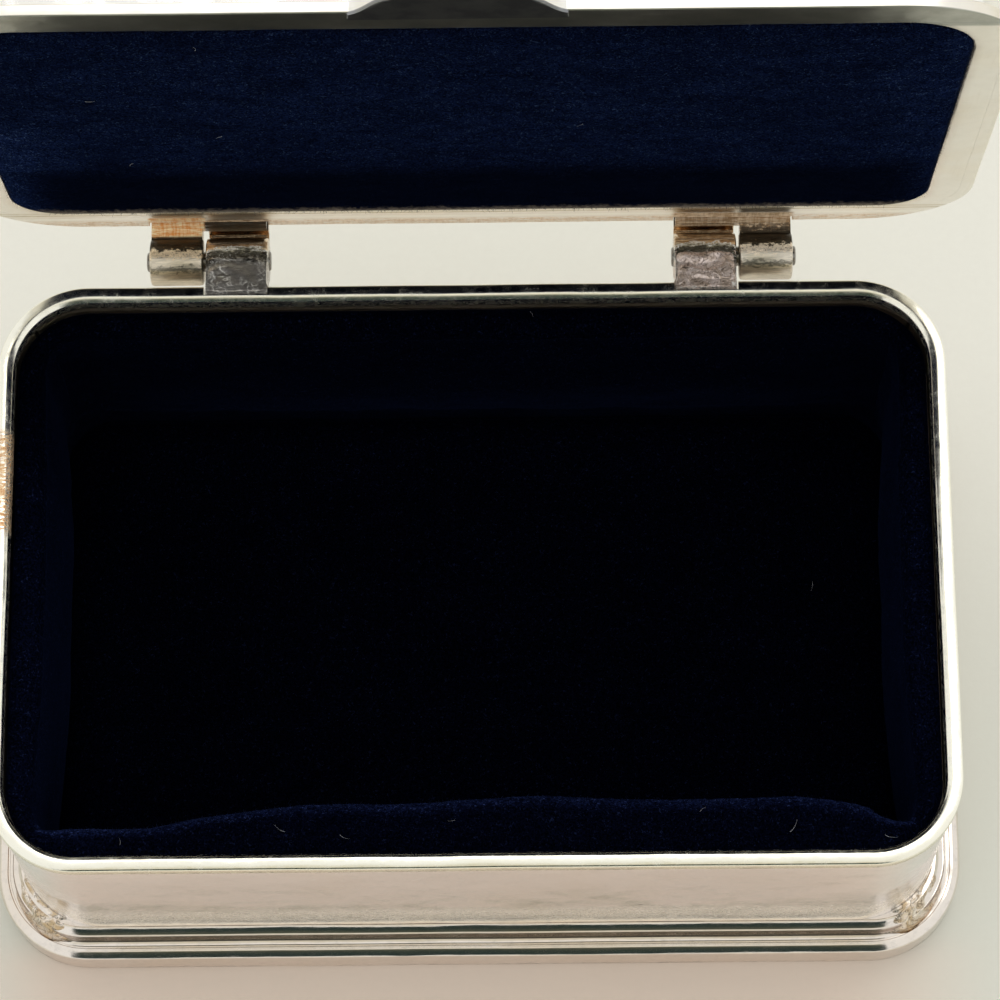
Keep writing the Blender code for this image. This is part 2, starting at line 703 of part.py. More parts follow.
def stations(side, straight_steps):
    """Points along one wall's inner face from mitre to mitre: (x, y, outward x, outward y, share of length)."""
    turn, half_length, distance, _ = SIDES[side]
    radius = WALL_RADIUS - WALL_THICKNESS
    straight = half_length - WALL_RADIUS
    centre_out = distance - WALL_RADIUS
    corner_steps = CORNER_STEPS // 2 + 1
    local = []
    for step in range(corner_steps):
        angle = math.radians(135) - MITRE - (math.radians(45) - MITRE) * step / corner_steps
        local.append((-straight, angle, 1.0))
    for step in range(straight_steps + 1):
        along = -straight + 2 * straight * step / straight_steps
        local.append((along, math.radians(90), abs(along) / straight))
    for step in range(1, corner_steps + 1):
        angle = math.radians(90) - (math.radians(45) - MITRE) * step / corner_steps
        local.append((straight, angle, 1.0))
    turned = Matrix.Rotation(math.radians(turn), 2)
    found = []
    for along, angle, share in local:
        outward = turned @ Vector((math.cos(angle), math.sin(angle)))
        centre = turned @ Vector((along, centre_out))
        place = centre + radius * outward
        found.append((place.x, place.y, outward.x, outward.y, share))
    return found


def along_wall(side, straight_steps, section):
    """Sections of (inward, height) points set square to one wall at each of its stations."""
    sections = []
    for x, y, out_x, out_y, share in stations(side, straight_steps):
        sections.append([(x - out_x * w, y - out_y * w, z) for w, z in section(x, share)])
    return sections


def card_section(x, share):
    return [(SOFT_GAP, CARD_BOTTOM), (CARD_FACE, CARD_BOTTOM), (CARD_FACE, CARD_TOP), (SOFT_GAP, CARD_TOP)]


def lining_section(side):
    """Velvet turned over its card at the top, with a belly and, in front, a deep roll with slack folds."""
    swell = SIDES[side][3]

    def section(x, share):
        power = LINING_POWER
        if side == "front":
            power = LINING_FRONT_LEFT_POWER if x < 0 else LINING_FRONT_RIGHT_POWER
        fullness = 1 - share**power
        wave = FOLD_WAVE * math.sin(2 * math.pi * FOLD_COUNT * x / BOX_WIDTH) if side == "front" else 0
        roll = LINING_CORNER + (swell + wave) * fullness
        belly = roll + LINING_BELLY * fullness
        foot = min(LINING_FOOT, roll)
        low = LINING_FOOT_HEIGHT
        tall = VELVET_TOP - low
        turned_edge = 3 * SOFT_GAP
        return [
            (SOFT_GAP, CARD_TOP + SOFT_GAP),
            (SOFT_GAP, VELVET_TOP - turned_edge),
            (2 * SOFT_GAP, VELVET_TOP - SOFT_GAP),
            (roll * 0.5, VELVET_TOP),
            (roll * 0.8, VELVET_TOP - turned_edge / 2),
            (roll * 0.97, VELVET_TOP - 0.06 * tall),
            (roll, VELVET_TOP - 0.11 * tall),
            (belly, low + 0.60 * tall),
            (belly, low + 0.35 * tall),
            ((belly + foot) / 2, low + 0.12 * tall),
            (foot, low),
            (foot, CARD_BOTTOM),
            (CARD_FACE + SOFT_GAP, CARD_BOTTOM),
            (CARD_FACE + SOFT_GAP, CARD_TOP + SOFT_GAP),
        ]

    return section


def make_wall_linings():
    for side in SIDES:
        card = along_wall(side, 1, card_section)
        add_part(f"{side}_card", loft(f"{side}_card", card), CARD)
        velvet = along_wall(side, LINING_STEPS[side], lining_section(side))
        add_part(f"{side}_velvet", loft(f"{side}_velvet", velvet), VELVET)


def floor_outline(inset):
    """Rounded rectangle inside the feet of the wall linings."""
    shrink = WALL_THICKNESS + LINING_FOOT + SOFT_GAP + inset
    return rounded_outline(WALL_HALF_X - shrink, WALL_HALF_Y - shrink, WALL_RADIUS - shrink)


def cushion(name, outline, low, side_height, crown, draw):
    """A pad on a flat back: sides drawn in at the top, and a crown; its height grows along +Z or -Z."""
    grow = math.copysign(1, side_height)
    rings = [(draw * 0.18, low), (0, low + side_height * 0.35), (draw * 0.10, low + side_height * 0.8)]
    rings.append((draw * 0.40, low + side_height + grow * crown * 0.18))
    rings.append((draw, low + side_height + grow * crown * 0.42))
    rings.append((draw * 2.4, low + side_height + grow * crown * 0.72))
    rings.append((draw * 4.8, low + side_height + grow * crown))
    return loft(name, [[(x, y, height) for x, y in outline(inset)] for inset, height in rings])


def cushion_outline(half_x, half_y, radius):
    """Outline whose corners stay round however far it is inset."""

    def outline(inset):
        return rounded_outline(half_x - inset, half_y - inset, max(radius - inset, radius * 0.4))

    return outline


def make_floor():
    board = add_part("floor_board", slab("floor_board", floor_outline(0), BOARD_THICKNESS), CARD)
    board.location.z = CARD_BOTTOM + BOARD_THICKNESS / 2
    shrink = WALL_THICKNESS + LINING_FOOT + SOFT_GAP
    outline = cushion_outline(WALL_HALF_X - shrink, WALL_HALF_Y - shrink, WALL_RADIUS - shrink)
    low = CARD_BOTTOM + BOARD_THICKNESS + SOFT_GAP
    pad = cushion("floor_velvet", outline, low, FLOOR_PAD_EDGE, FLOOR_PAD_CROWN, FLOOR_PAD_DRAW)
    add_part("floor_velvet", pad, VELVET)


# Lining of the lid


def make_lid_lining():
    back = LAND_LEVEL + FRAME_THICKNESS + SOFT_GAP

    def outline(inset):
        return land_opening(SOFT_GAP + inset)

    side_height = LID_PAD_RECESS - FRAME_THICKNESS - SOFT_GAP
    pad = cushion("lid_velvet", outline, back, side_height, LID_PAD_CROWN, LID_PAD_DRAW)
    lid_velvet = add_part("lid_velvet", pad, VELVET, LID_PIVOT)
    lid_velvet.location.y = LID_CENTRE_Y
    inset = LID_SIDE_INSET + LID_SHEET + SOFT_GAP
    outline = lid_outline(-inset)
    board = add_part("lid_board", slab("lid_board", outline, LID_BOARD_THICKNESS), CARD, LID_PIVOT)
    board.location.y = LID_CENTRE_Y
    board.location.z = back + SOFT_GAP + LID_BOARD_THICKNESS / 2


def main():
    make_base_plate()
    make_base_wall()
    make_rim_bead()
    make_foot_moulding()
    for label, side in (("left", -1), ("right", 1)):
        make_body_knuckle(label, side)
        make_pin(label, side)
        make_lid_hinge(label, side)
    make_lid_bead()
    make_lid_frame()
    make_lid_shell()
    make_thumbpiece()
    make_wall_linings()
    make_floor()
    make_lid_lining()


main()
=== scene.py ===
import math
import random
from itertools import accumulate

import bmesh
import bpy
from mathutils import Matrix, Vector, noise
from mathutils.bvhtree import BVHTree


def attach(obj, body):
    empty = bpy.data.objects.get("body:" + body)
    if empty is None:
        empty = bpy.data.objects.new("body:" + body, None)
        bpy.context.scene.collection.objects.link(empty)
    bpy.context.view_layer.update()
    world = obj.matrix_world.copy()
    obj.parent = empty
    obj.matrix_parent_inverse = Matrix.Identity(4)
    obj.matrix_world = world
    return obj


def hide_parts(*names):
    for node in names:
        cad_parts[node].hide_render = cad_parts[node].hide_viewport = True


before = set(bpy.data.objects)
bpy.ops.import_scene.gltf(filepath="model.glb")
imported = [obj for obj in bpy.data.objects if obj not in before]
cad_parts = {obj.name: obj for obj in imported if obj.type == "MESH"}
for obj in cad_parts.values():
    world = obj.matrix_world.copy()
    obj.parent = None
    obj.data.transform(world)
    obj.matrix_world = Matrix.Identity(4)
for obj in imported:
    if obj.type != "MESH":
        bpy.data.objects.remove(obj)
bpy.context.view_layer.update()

MM = 0.001
random.seed(7)
noise.seed_set(7)

# Sizes that the looks share with the solids, in millimetres
WALL_HALF, WALL_RADIUS, WALL_THICKNESS = (44.7, 28.2), 8.1, 0.9
WALL_BOTTOM, WALL_TOP = 1.05, 31.35
RIM_HEIGHT, RIM_BEAD_WIDTH, RIM_BEAD_HEIGHT, RIM_PROUD = 33.0, 1.6, 1.5, 0.3
FOOT_RADIUS, FOOT_OVERHANG = 6.4, 2.6
HINGE_X, KNUCKLE_LENGTH, KNUCKLE_GAP, LID_KNUCKLE_LENGTH = 19.5, 6.0, 0.3, 5.1
KNUCKLE_MIDDLE = 22.4
LID_KNUCKLE_X = HINGE_X + KNUCKLE_LENGTH + KNUCKLE_GAP
LID_KNUCKLE_END = LID_KNUCKLE_X + LID_KNUCKLE_LENGTH
AXIS_Y, AXIS_Z = 32.2, 29.9
OPENING = math.radians(84.4)
LID_HALF, LID_RADIUS, LID_CENTRE_Y = (47.3, 30.8), 10.7, -32.2
LAND_HALF, LAND_LEVEL, LAND_SHIFT = (43.15, 26.4), 3.2, 0.2
LID_BEAD_TOP, LID_BEAD_INNER, LID_SIDE_BOTTOM = 4.3, -1.25, 4.45
SOLDER_TOP = 32.8

# The camera that fits the photograph, and the hairs seen on the velvet (pixel, pixel, length in mm, width)
FOCAL = 4065
TILT, PAN, ROLL = math.radians(72.05), math.radians(1.59), math.radians(-2.09)
DISTANCE = 0.4109
ORIGIN_PIXEL = (478.05, 664.08)
PICTURE_HALF = 500
LINT = [
    (195, 50, 0.9, 1.0), (85, 101, 0.8, 1.3), (222, 136, 0.8, 0.9), (583, 123, 0.7, 0.9),
    (130, 165, 0.9, 0.8), (812, 582, 0.9, 1.1), (530, 312, 0.7, 0.8), (285, 832, 1.1, 1.0),
    (340, 835, 0.9, 0.9), (790, 832, 1.2, 1.2), (885, 835, 1.1, 1.2), (700, 812, 0.6, 0.8),
    (455, 820, 0.6, 0.8), (120, 845, 0.6, 0.9),
]
LINT_RADIUS = 0.022

HINGE_FRAME = Matrix.Translation((0, AXIS_Y, AXIS_Z)) @ Matrix.Rotation(-OPENING, 4, "X")
LID_FRAME = HINGE_FRAME @ Matrix.Translation((0, LID_CENTRE_Y, 0))


# Shapes


def between(first, last, share):
    return tuple(a + (b - a) * share for a, b in zip(first, last))


def smooth(share):
    return share * share * (3 - 2 * share)


def both_sides(near, far):
    """Low and high x of what lies between two distances, on the left and on the right."""
    return (-far, -near), (near, far)


def arc(centre, radius, start, end, steps):
    angles = [math.radians(start + (end - start) * step / steps) for step in range(steps + 1)]
    return [(centre[0] + radius * math.cos(angle), centre[1] + radius * math.sin(angle)) for angle in angles]


def run(start, *bends):
    """A profile that goes outwards and down; each bend is (tilt at start, tilt at end, length), in degrees and mm."""
    x, z = start
    points = [start]
    for first, last, length in bends:
        steps = max(2, int(abs(last - first) / 5))
        for step in range(steps):
            tilt = math.radians(first + (last - first) * (step + 0.5) / steps)
            x += length / steps * math.cos(tilt)
            z -= length / steps * math.sin(tilt)
            points.append((x, z))
    return points


def rounded(half, out, radius, front_radius=None, straight=(24, 14)):
    """A rounded rectangle as (x, y), clockwise from above, evenly divided along its straight sides."""
    half_x, half_y = half[0] + out, half[1] + out
    turns = []
    for x_side, y_side, start in ((1, 1, 90), (1, -1, 0), (-1, -1, -90), (-1, 1, -180)):
        bend = front_radius if front_radius and y_side < 0 else radius
        bend = min(bend, half_x * 0.98, half_y * 0.98)
        centre = (x_side * (half_x - bend), y_side * (half_y - bend))
        turns.append(arc(centre, bend, start, start - 90, 26))
    points = []
    for number, turn in enumerate(turns):
        points += turn
        count = straight[1 - number % 2]
        points += [between(turn[-1], turns[(number + 1) % 4][0], step / count) for step in range(1, count)]
    return points


def lengths(points):
    """Distance along a polyline to each of its points."""
    return list(accumulate(map(math.dist, points, points[1:]), initial=0.0))


def finished(built, name, sharp=None):
    """The smooth mesh of a bmesh, with its normals outwards and its edges sharp beyond an angle."""
    bmesh.ops.recalc_face_normals(built, faces=built.faces)
    mesh = bpy.data.meshes.new(name)
    built.to_mesh(mesh)
    built.free()
    mesh.shade_smooth()
    if sharp:
        mesh.set_sharp_from_angle(angle=math.radians(sharp))
    return mesh


def mesh_from(name, rows, closed_rows=True, closed_columns=True, caps=(0, -1), place=None, sharp=32, wobble=0.0):
    """A skin through rows of points (mm), with a flow attribute of (along, across) in mm.

    caps says which open ends get a face, 0 for the first and -1 for the last.
    """
    columns = len(rows[0])
    built = bmesh.new()
    flow = built.verts.layers.float_vector.new("flow")
    along = lengths(rows[len(rows) // 2])
    across = lengths([row[columns // 3] for row in rows])
    grid = []
    for i, row in enumerate(rows):
        line = []
        for j, point in enumerate(row):
            spot = Vector(point)
            if wobble:
                spot += wobble * noise.noise_vector(spot * 0.11)
            spot = place @ spot if place else spot
            vert = built.verts.new(spot * MM)
            vert[flow] = (along[j], across[i], 0)
            line.append(vert)
        grid.append(line)
    for i in range(len(rows) if closed_rows else len(rows) - 1):
        for j in range(columns if closed_columns else columns - 1):
            after, beside = (i + 1) % len(rows), (j + 1) % columns
            built.faces.new((grid[i][j], grid[after][j], grid[after][beside], grid[i][beside]))
    if not (closed_rows and closed_columns):
        ends = list(zip(*grid)) if closed_rows else grid
        for number in caps:
            built.faces.new(ends[number])
    return finished(built, name, sharp)


def sweep(name, outline, profile, **options):
    """A closed profile of (outward, height) points carried round outline(outward)."""
    return mesh_from(name, [[(x, y, height) for x, y in outline(out)] for out, height in profile], **options)


def placed(name, data):
    made = bpy.data.objects.new(name, data)
    bpy.context.scene.collection.objects.link(made)
    return made


def piece(mesh, body, slot, material, *nodes):
    """A visible piece, with the name of its mesh."""
    made = placed(mesh.name, mesh)
    mesh.materials.append(material)
    if nodes:
        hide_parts(*nodes)
    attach(made, body)
    return made


def apply_modifiers(made):
    bpy.context.view_layer.update()
    graph = bpy.context.evaluated_depsgraph_get()
    mesh = bpy.data.meshes.new_from_object(made.evaluated_get(graph))
    made.modifiers.clear()
    made.data = mesh


def cut(low, high, place=Matrix()):
    """A box to take out of a piece; its corners are in millimetres."""
    low, high = Vector(low), Vector(high)
    box = place @ Matrix.Translation((low + high) / 2) @ Matrix.Diagonal((*(high - low), 1))
    built = bmesh.new()
    bmesh.ops.create_cube(built, size=1.0, matrix=Matrix.Scale(MM, 4) @ box)
    mesh = bpy.data.meshes.new("cut")
    built.to_mesh(mesh)
    built.free()
    return placed("cut", mesh)


def subtract(made, cutter):
    modifier = made.modifiers.new("cut", "BOOLEAN")
    modifier.operation, modifier.solver, modifier.object = "DIFFERENCE", "EXACT", cutter
    apply_modifiers(made)
    bpy.data.objects.remove(cutter, do_unlink=True)


def sharpen(made, angle):
    made.data.set_sharp_from_angle(angle=math.radians(angle))


def refined(node):
    """A welded copy of a solid with its edges rounded off."""
    bevel = 0.12 * MM
    built = bmesh.new()
    built.from_mesh(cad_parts[node].data)
    bmesh.ops.remove_doubles(built, verts=built.verts, dist=2e-6)
    bmesh.ops.dissolve_limit(built, angle_limit=math.radians(0.6), verts=built.verts, edges=built.edges)
    sharp = [e for e in built.edges if e.is_manifold and e.calc_face_angle() > math.radians(28)]
    bmesh.ops.bevel(built, geom=sharp, offset=bevel, segments=3, profile=0.6, affect="EDGES", clamp_overlap=True)
    return finished(built, f"{node}_worn", 40)


# Materials


class Value:
    """An output of a node tree that is added, subtracted and multiplied like a number."""

    def __init__(self, graph, socket):
        self.graph, self.socket = graph, socket

    def __add__(self, other):
        return self.graph.math("ADD", self, other)

    def __mul__(self, other):
        return self.graph.math("MULTIPLY", self, other)

    def __sub__(self, other):
        return self.graph.math("SUBTRACT", self, other)

    def __abs__(self):
        return self.graph.math("ABSOLUTE", self)


class Graph:
    """Builds one material's node tree."""

    def __init__(self, name):
        self.material = bpy.data.materials.new(name)
        self.material.use_nodes = True
        self.tree = self.material.node_tree
        self.shader = self.tree.nodes["Principled BSDF"]
        self.spot = self.vector("MULTIPLY", self.put("ShaderNodeTexCoord", output="Object"), (1000, 1000, 1000))
        self.x, self.y, self.z = self.split(self.spot)

    def put(self, kind, inputs=None, output=0, **settings):
        """Adds a node and returns one of its outputs."""
        node = self.tree.nodes.new(kind)
        for key, value in settings.items():
            setattr(node, key, value)
        for key, value in (inputs or {}).items():
            self.feed(node.inputs[key], value)
        return Value(self, node.outputs[output])

    def feed(self, socket, value):
        if isinstance(value, Value):
            self.tree.links.new(value.socket, socket)
        else:
            socket.default_value = value

    def set(self, **values):
        for key, value in values.items():
            self.feed(self.shader.inputs[key.replace("_", " ")], value)
        return self.material

    def math(self, operation, first, second=0.0, clamp=False):
        return self.put("ShaderNodeMath", {0: first, 1: second}, operation=operation, use_clamp=clamp)

    def most(self, first, second):
        return self.math("MAXIMUM", first, second)

    def less(self, first, second):
        return self.math("SUBTRACT", first, second, clamp=True)

    def vector(self, operation, first, second):
        return self.put("ShaderNodeVectorMath", {0: first, 1: second}, operation=operation)

    def split(self, vector):
        first = self.put("ShaderNodeSeparateXYZ", {0: vector})
        return [Value(self, socket) for socket in first.socket.node.outputs]

    def stretch(self, vector, scale, turn=(0, 0, 0)):
        return self.put("ShaderNodeMapping", {"Vector": vector, "Scale": scale, "Rotation": turn})

    def noise(self, scale, detail=3.0, roughness=0.5, distortion=0.0, at=None):
        inputs = {"Vector": at or self.spot, "Scale": scale, "Detail": detail, "Roughness": roughness}
        return self.put("ShaderNodeTexNoise", {**inputs, "Distortion": distortion})

    def streaks(self, stretch, detail, roughness, scale=1.0, distortion=0.0):
        return self.noise(scale, detail, roughness, distortion, self.stretch(self.spot, stretch))

    def range(self, value, low, high, to_low=0.0, to_high=1.0):
        inputs = {"Value": value, "From Min": low, "From Max": high, "To Min": to_low, "To Max": to_high}
        return self.put("ShaderNodeMapRange", inputs, interpolation_type="SMOOTHSTEP")

    def inside(self, value, low, full_low, full_high, high):
        """1 between the two middle values, fading to 0 at the outer ones."""
        return self.range(value, low, full_low) * self.range(value, high, full_high)

    def mix(self, share, first, second):
        inputs = {0: share}
        for number, colour in ((6, first), (7, second)):
            inputs[number] = (*colour, 1) if isinstance(colour, tuple) else colour
        return self.put("ShaderNodeMix", inputs, 2, data_type="RGBA")

    def bump(self, height, strength, distance, normal=None):
        inputs = {"Height": height, "Strength": strength, "Distance": distance * MM}
        if normal is not None:
            inputs["Normal"] = normal
        return self.put("ShaderNodeBump", inputs)

    def hairlines(self, scale, width, distortion=0.6, at=None):
        """Thin curved lines where a noise crosses its middle."""
        return self.range(abs(self.noise(scale, 2.0, 0.45, distortion, at) - 0.5), 0.0, width, 1.0, 0.0)

    def shifted(self, *shift):
        return self.vector("ADD", self.spot, shift)

    def box(self, low, high, edge):
        """1 inside a box of the row frame (mm), fading over its edge."""
        total = 1.0
        for value, a, b in zip((self.x, self.y, self.z), low, high):
            total = self.inside(value, a - edge, a + edge, b - edge, b + edge) * total
        return total

    def weave(self):
        """Bands across worn metal with short ticks between them, from 0 to 1."""
        bands = self.range(self.streaks((0.7, 5.0, 5.0), 5.0, 0.75), 0.36, 0.66)
        ticks = self.range(self.streaks((4.5, 0.5, 0.5), 3.0, 0.6), 0.35, 0.6, -0.35, 0.15)
        return self.math("ADD", bands, ticks, clamp=True)


def dim(colour, *shares):
    """A colour times one share, or times a share for each channel."""
    return tuple(c * share for c, share in zip(colour, shares * 3 if len(shares) == 1 else shares))


def silver(
    name, tint, roughness=0.12, tarnish=0.3, streak=0.5, scratch=0.3, copper_and_shade=(), waves=0.5, grime=0.0, bands=(),
    pitch=9.0, grit=1.0, face=None,
):
    """Polished plate with scratches along its length, warm tarnish, and copper where it has worn through.

    Each place in copper_and_shade is (low corner, high corner, edge, amount, deep colour, pale colour); most are
    copper wear, and one is painted shade in dark copper colours. Each of bands is (height from, height to, edge,
    amount, colour, dullness); some bands are painted light and painted reflections. pitch is the number of fine
    lines in a millimetre, and grit is how uneven the polish is. face is (height, colour) of a painted dark
    reflection on the part of the lid's underside above that height.
    """
    g = Graph(name)
    cloud = g.range(g.noise(0.09, 4.0, 0.6), 0.38, 0.68)
    fine = g.noise(1.1, 3.0, 0.65)
    warm = dim(tint, 0.95, 0.89, 0.78)
    colour = g.mix(cloud * tarnish, tint, warm)
    colour = g.mix(g.range(fine, 0.45, 0.75, 0.0, 0.12 + grime), colour, dim(tint, 0.72))
    flow = g.put("ShaderNodeAttribute", output="Vector", attribute_name="flow")
    lines = g.noise(1.0, 4.0 if pitch > 4 else 2.0, 0.7, at=g.stretch(flow, (0.10, pitch, 1.0)))
    hairs = g.hairlines(0.8, 0.006, at=g.stretch(g.spot, (0.5, 0.5, 1.6), (0.3, 0.5, 0.9)))
    hairs = hairs * g.range(g.noise(0.35, 2.0), 0.5, 0.65)
    marks = g.range(lines, 0.52, 0.74) * streak + hairs * scratch
    colour = g.mix(marks * 0.22, colour, dim(warm, 0.8))
    rough = g.range(fine, 0.3, 0.8, roughness * (1 - 0.3 * grit), roughness * (1 + 0.5 * grit)) + marks * (0.12 * grit)
    metal = 1.0
    # Bands of colour round the piece; some are painted light and painted reflections, marked where they are given.
    for low, high, edge, amount, tinge, dull in bands:
        patchy = g.range(g.streaks((0.22, 2.0, 3.0), 5.0, 0.7), 0.32, 0.52, 0.45, 1.0)
        mask = g.inside(g.z, low - edge, low + edge, high - edge, high + edge) * patchy * amount
        colour = g.mix(mask, colour, tinge)
        rough += mask * 0.10
        metal = g.less(metal, mask * dull)
    # Painted dark reflection: the land's face above a height is darkened towards face's colour.
    if face:
        depth = (g.y - AXIS_Y) * math.sin(OPENING) + (g.z - AXIS_Z) * math.cos(OPENING)
        mask = g.range(depth, LAND_LEVEL + 0.16, LAND_LEVEL + 0.04) * g.range(g.z, face[0] - 0.3, face[0] + 0.3)
        colour = g.mix(mask * g.range(g.noise(0.4, 3.0, 0.6), 0.35, 0.65, 0.86, 1.0), colour, face[1])
    for low, high, edge, amount, deep, pale in copper_and_shade:
        grain = g.streaks((0.8, 3.0, 6.0), 5.0, 0.7, 1.4)
        mask = g.box(low, high, edge) * g.range(grain, 0.62 - 0.42 * amount, 0.68 - 0.26 * amount)
        colour = g.mix(mask, colour, g.mix(g.weave(), deep, pale))
        rough += mask * 0.14
        metal = g.less(metal, mask * 0.6)
    small = g.bump(fine * 0.25 - marks * 0.4, 0.2, 0.015)
    return g.set(
        Base_Color=colour,
        Metallic=metal,
        Roughness=rough,
        Normal=g.bump(g.noise(0.16, 2.0, 0.4), waves, 0.6, small),
    )


def hinge_silver(name, tint, bronze, worn, deep, pale, soot_and_painted_light=False, web_soot_and_shade=0.0):
    """Plate on a hinge, by the angle round its axis in degrees, from the top towards the front.

    It is bronze behind, and off the barrel it is worn to copper. On the lid's halves the
    barrel's back carries soot with a painted dark reflection, and web_soot_and_shade is how much of it goes on over
    the web; the leaf above the base's knuckle gets painted shade, the barrel dark stripes that are painted
    reflections, and its crest a pale painted highlight. The base's halves have a dark band, painted shade on the heel
    under the lid's leaf, a pale line behind the top that is a painted highlight, and scars on the flat.
    """
    g = Graph(name)
    up, back = g.z - AXIS_Z, g.y - AXIS_Y
    away = g.math("SQRT", up * up + back * back)
    grit = g.noise(3.2, 5.0, 0.7)
    ragged = g.streaks((1.5, 3.0, 3.0), 4.0, 0.7)
    turn = g.math("ARCTAN2", back * -1.0, up) * math.degrees(1) + g.range(ragged, 0.3, 0.7, -9, 9)
    if not soot_and_painted_light:
        from_middle = abs((abs(g.x) - KNUCKLE_MIDDLE) * (1 / 3))
        turn = turn - g.math("POWER", from_middle, 5.0) * 15.0
    right = g.range(g.x, -5, 5)
    barrel = g.range(away, 2.6, 2.4)
    off = g.range(away, 2.34, 2.5) * g.range(back, 0.2, 0.9)

    brushed = g.streaks((0.6, 7.0, 7.0), 5.0, 0.7)
    colour = g.mix(g.range(brushed, 0.38, 0.66), dim(tint, 0.66), tint)
    behind = g.mix(g.range(brushed, 0.4, 0.6), (0.30, 0.20, 0.11), (0.86, 0.68, 0.48))
    colour = g.mix(g.range(turn, -12, -24) * bronze, colour, behind)
    if soot_and_painted_light:
        # Soot with a painted dark reflection on the barrel's back, ragged by grit, and over the web by a share.
        web = g.range(g.z, 31.5, 31.25) * web_soot_and_shade
        black = g.inside(turn, -70, -60, -11, -5) * g.range(grit, 0.28, 0.37) * g.most(barrel, web)
        # Painted shade on the leaf above the base's knuckle, weaker on the right.
        shade = g.range(abs(g.x), 25.8, 25.5) * off * g.range(g.z, 33.6, 32.8, 0.55, 0.96)
        dark = g.most(black * 0.93, shade * g.range(g.x, -5, 5, 1.0, 0.25))
    else:
        # A dark band across the barrel, and painted shade on the heel under the lid's leaf.
        dark = g.most(g.inside(turn, -8, -3, 12, 22) * 0.75, off * g.range(g.z, 29.7, 30.3) * 0.9)
    colour = g.mix(off * worn, colour, g.mix(g.weave(), deep, pale))
    colour = g.mix(dark, colour, (0.016, 0.014, 0.011))

    front = g.range(turn, -4, 12)
    height = grit * 0.5
    if soot_and_painted_light:
        # Painted reflections: dark stripes round the barrel.
        stripe = g.inside(turn, 30, 36, 43, 49) * g.range(grit, 0.36, 0.48, 0.4, 1.0) * 0.75
        colour = g.mix(stripe * barrel, colour, (0.16, 0.15, 0.12))
        # Painted highlight: a pale crest along the barrel.
        crest = g.inside(turn, -10, -6, 8, 14) * barrel * g.range(grit, 0.36, 0.5, 0.25, 1.0)
        colour = g.mix(crest, colour, g.mix(right, (0.92, 0.74, 0.50), (0.98, 0.84, 0.66)))
        plain = crest * 0.7 + off * (worn * 0.78)
    else:
        flat = g.range(turn, 16, 26) * g.range(g.noise(0.9, 4.0, 0.65), 0.38, 0.6, 0.45, 1.0)
        colour = g.mix(flat, colour, g.mix(right, (0.52, 0.49, 0.46), (0.80, 0.66, 0.58)))
        cuts = g.hairlines(0.55, 0.05, 2.2, g.shifted(3.0, 11.0, 5.0)) * g.range(g.x, -5, 5, 0.3, 1.0)
        colour = g.mix(cuts * g.range(turn, 16, 26) * 0.85, colour, (0.05, 0.045, 0.035))
        thin = g.hairlines(1.6, 0.02, 1.2, g.shifted(7.0, 3.0, 1.0))
        marks = g.most(g.hairlines(0.75, 0.028, 1.6), thin * 0.7)
        marks = marks * g.range(g.noise(0.5, 3.0), 0.36, 0.56) * front
        # Painted highlight: a pale line that arcs round the barrel behind its top.
        marks = g.most(marks, g.inside(turn, -17, -14, -13, -10))
        colour = g.mix(marks, colour, (0.93, 0.91, 0.87))
        height = height + marks * 0.3
        plain = marks * 0.7 + flat * g.range(g.x, -5, 5, 0.22, 0.5)
    rough = g.range(brushed, 0.3, 0.7, 0.07, 0.17) + g.most(dark, front) * 0.2
    return g.set(
        Base_Color=colour,
        Metallic=g.less(1.0, plain),
        Roughness=rough,
        Normal=g.bump(height, 0.4, 0.04, g.bump(ragged, 0.35, 0.08)),
    )


def solder(name, tint, tinge, roughness, lumps, crease, dull=0.0):
    """Solder in two colours, with dark creases."""
    g = Graph(name)
    lump = g.noise(0.9, 5.0, 0.6, 0.8)
    grit = g.noise(4.0, 4.0, 0.7)
    lines = g.hairlines(0.9, 0.03, 1.8)
    colour = g.mix(g.range(lump, 0.38, 0.62), tint, tinge)
    colour = g.mix(lines * crease, colour, dim(tinge, 0.3))
    colour = g.mix(g.range(grit, 0.5, 0.75, 0.0, 0.3), colour, dim(tint, 0.55))
    return g.set(
        Base_Color=colour,
        Metallic=1.0 - dull,
        Roughness=g.range(grit, 0.3, 0.8, roughness * 0.6, roughness * 1.6),
        Normal=g.bump(lump + grit * 0.25 - lines * (0.3 * crease), 0.8, 0.3 * lumps),
    )


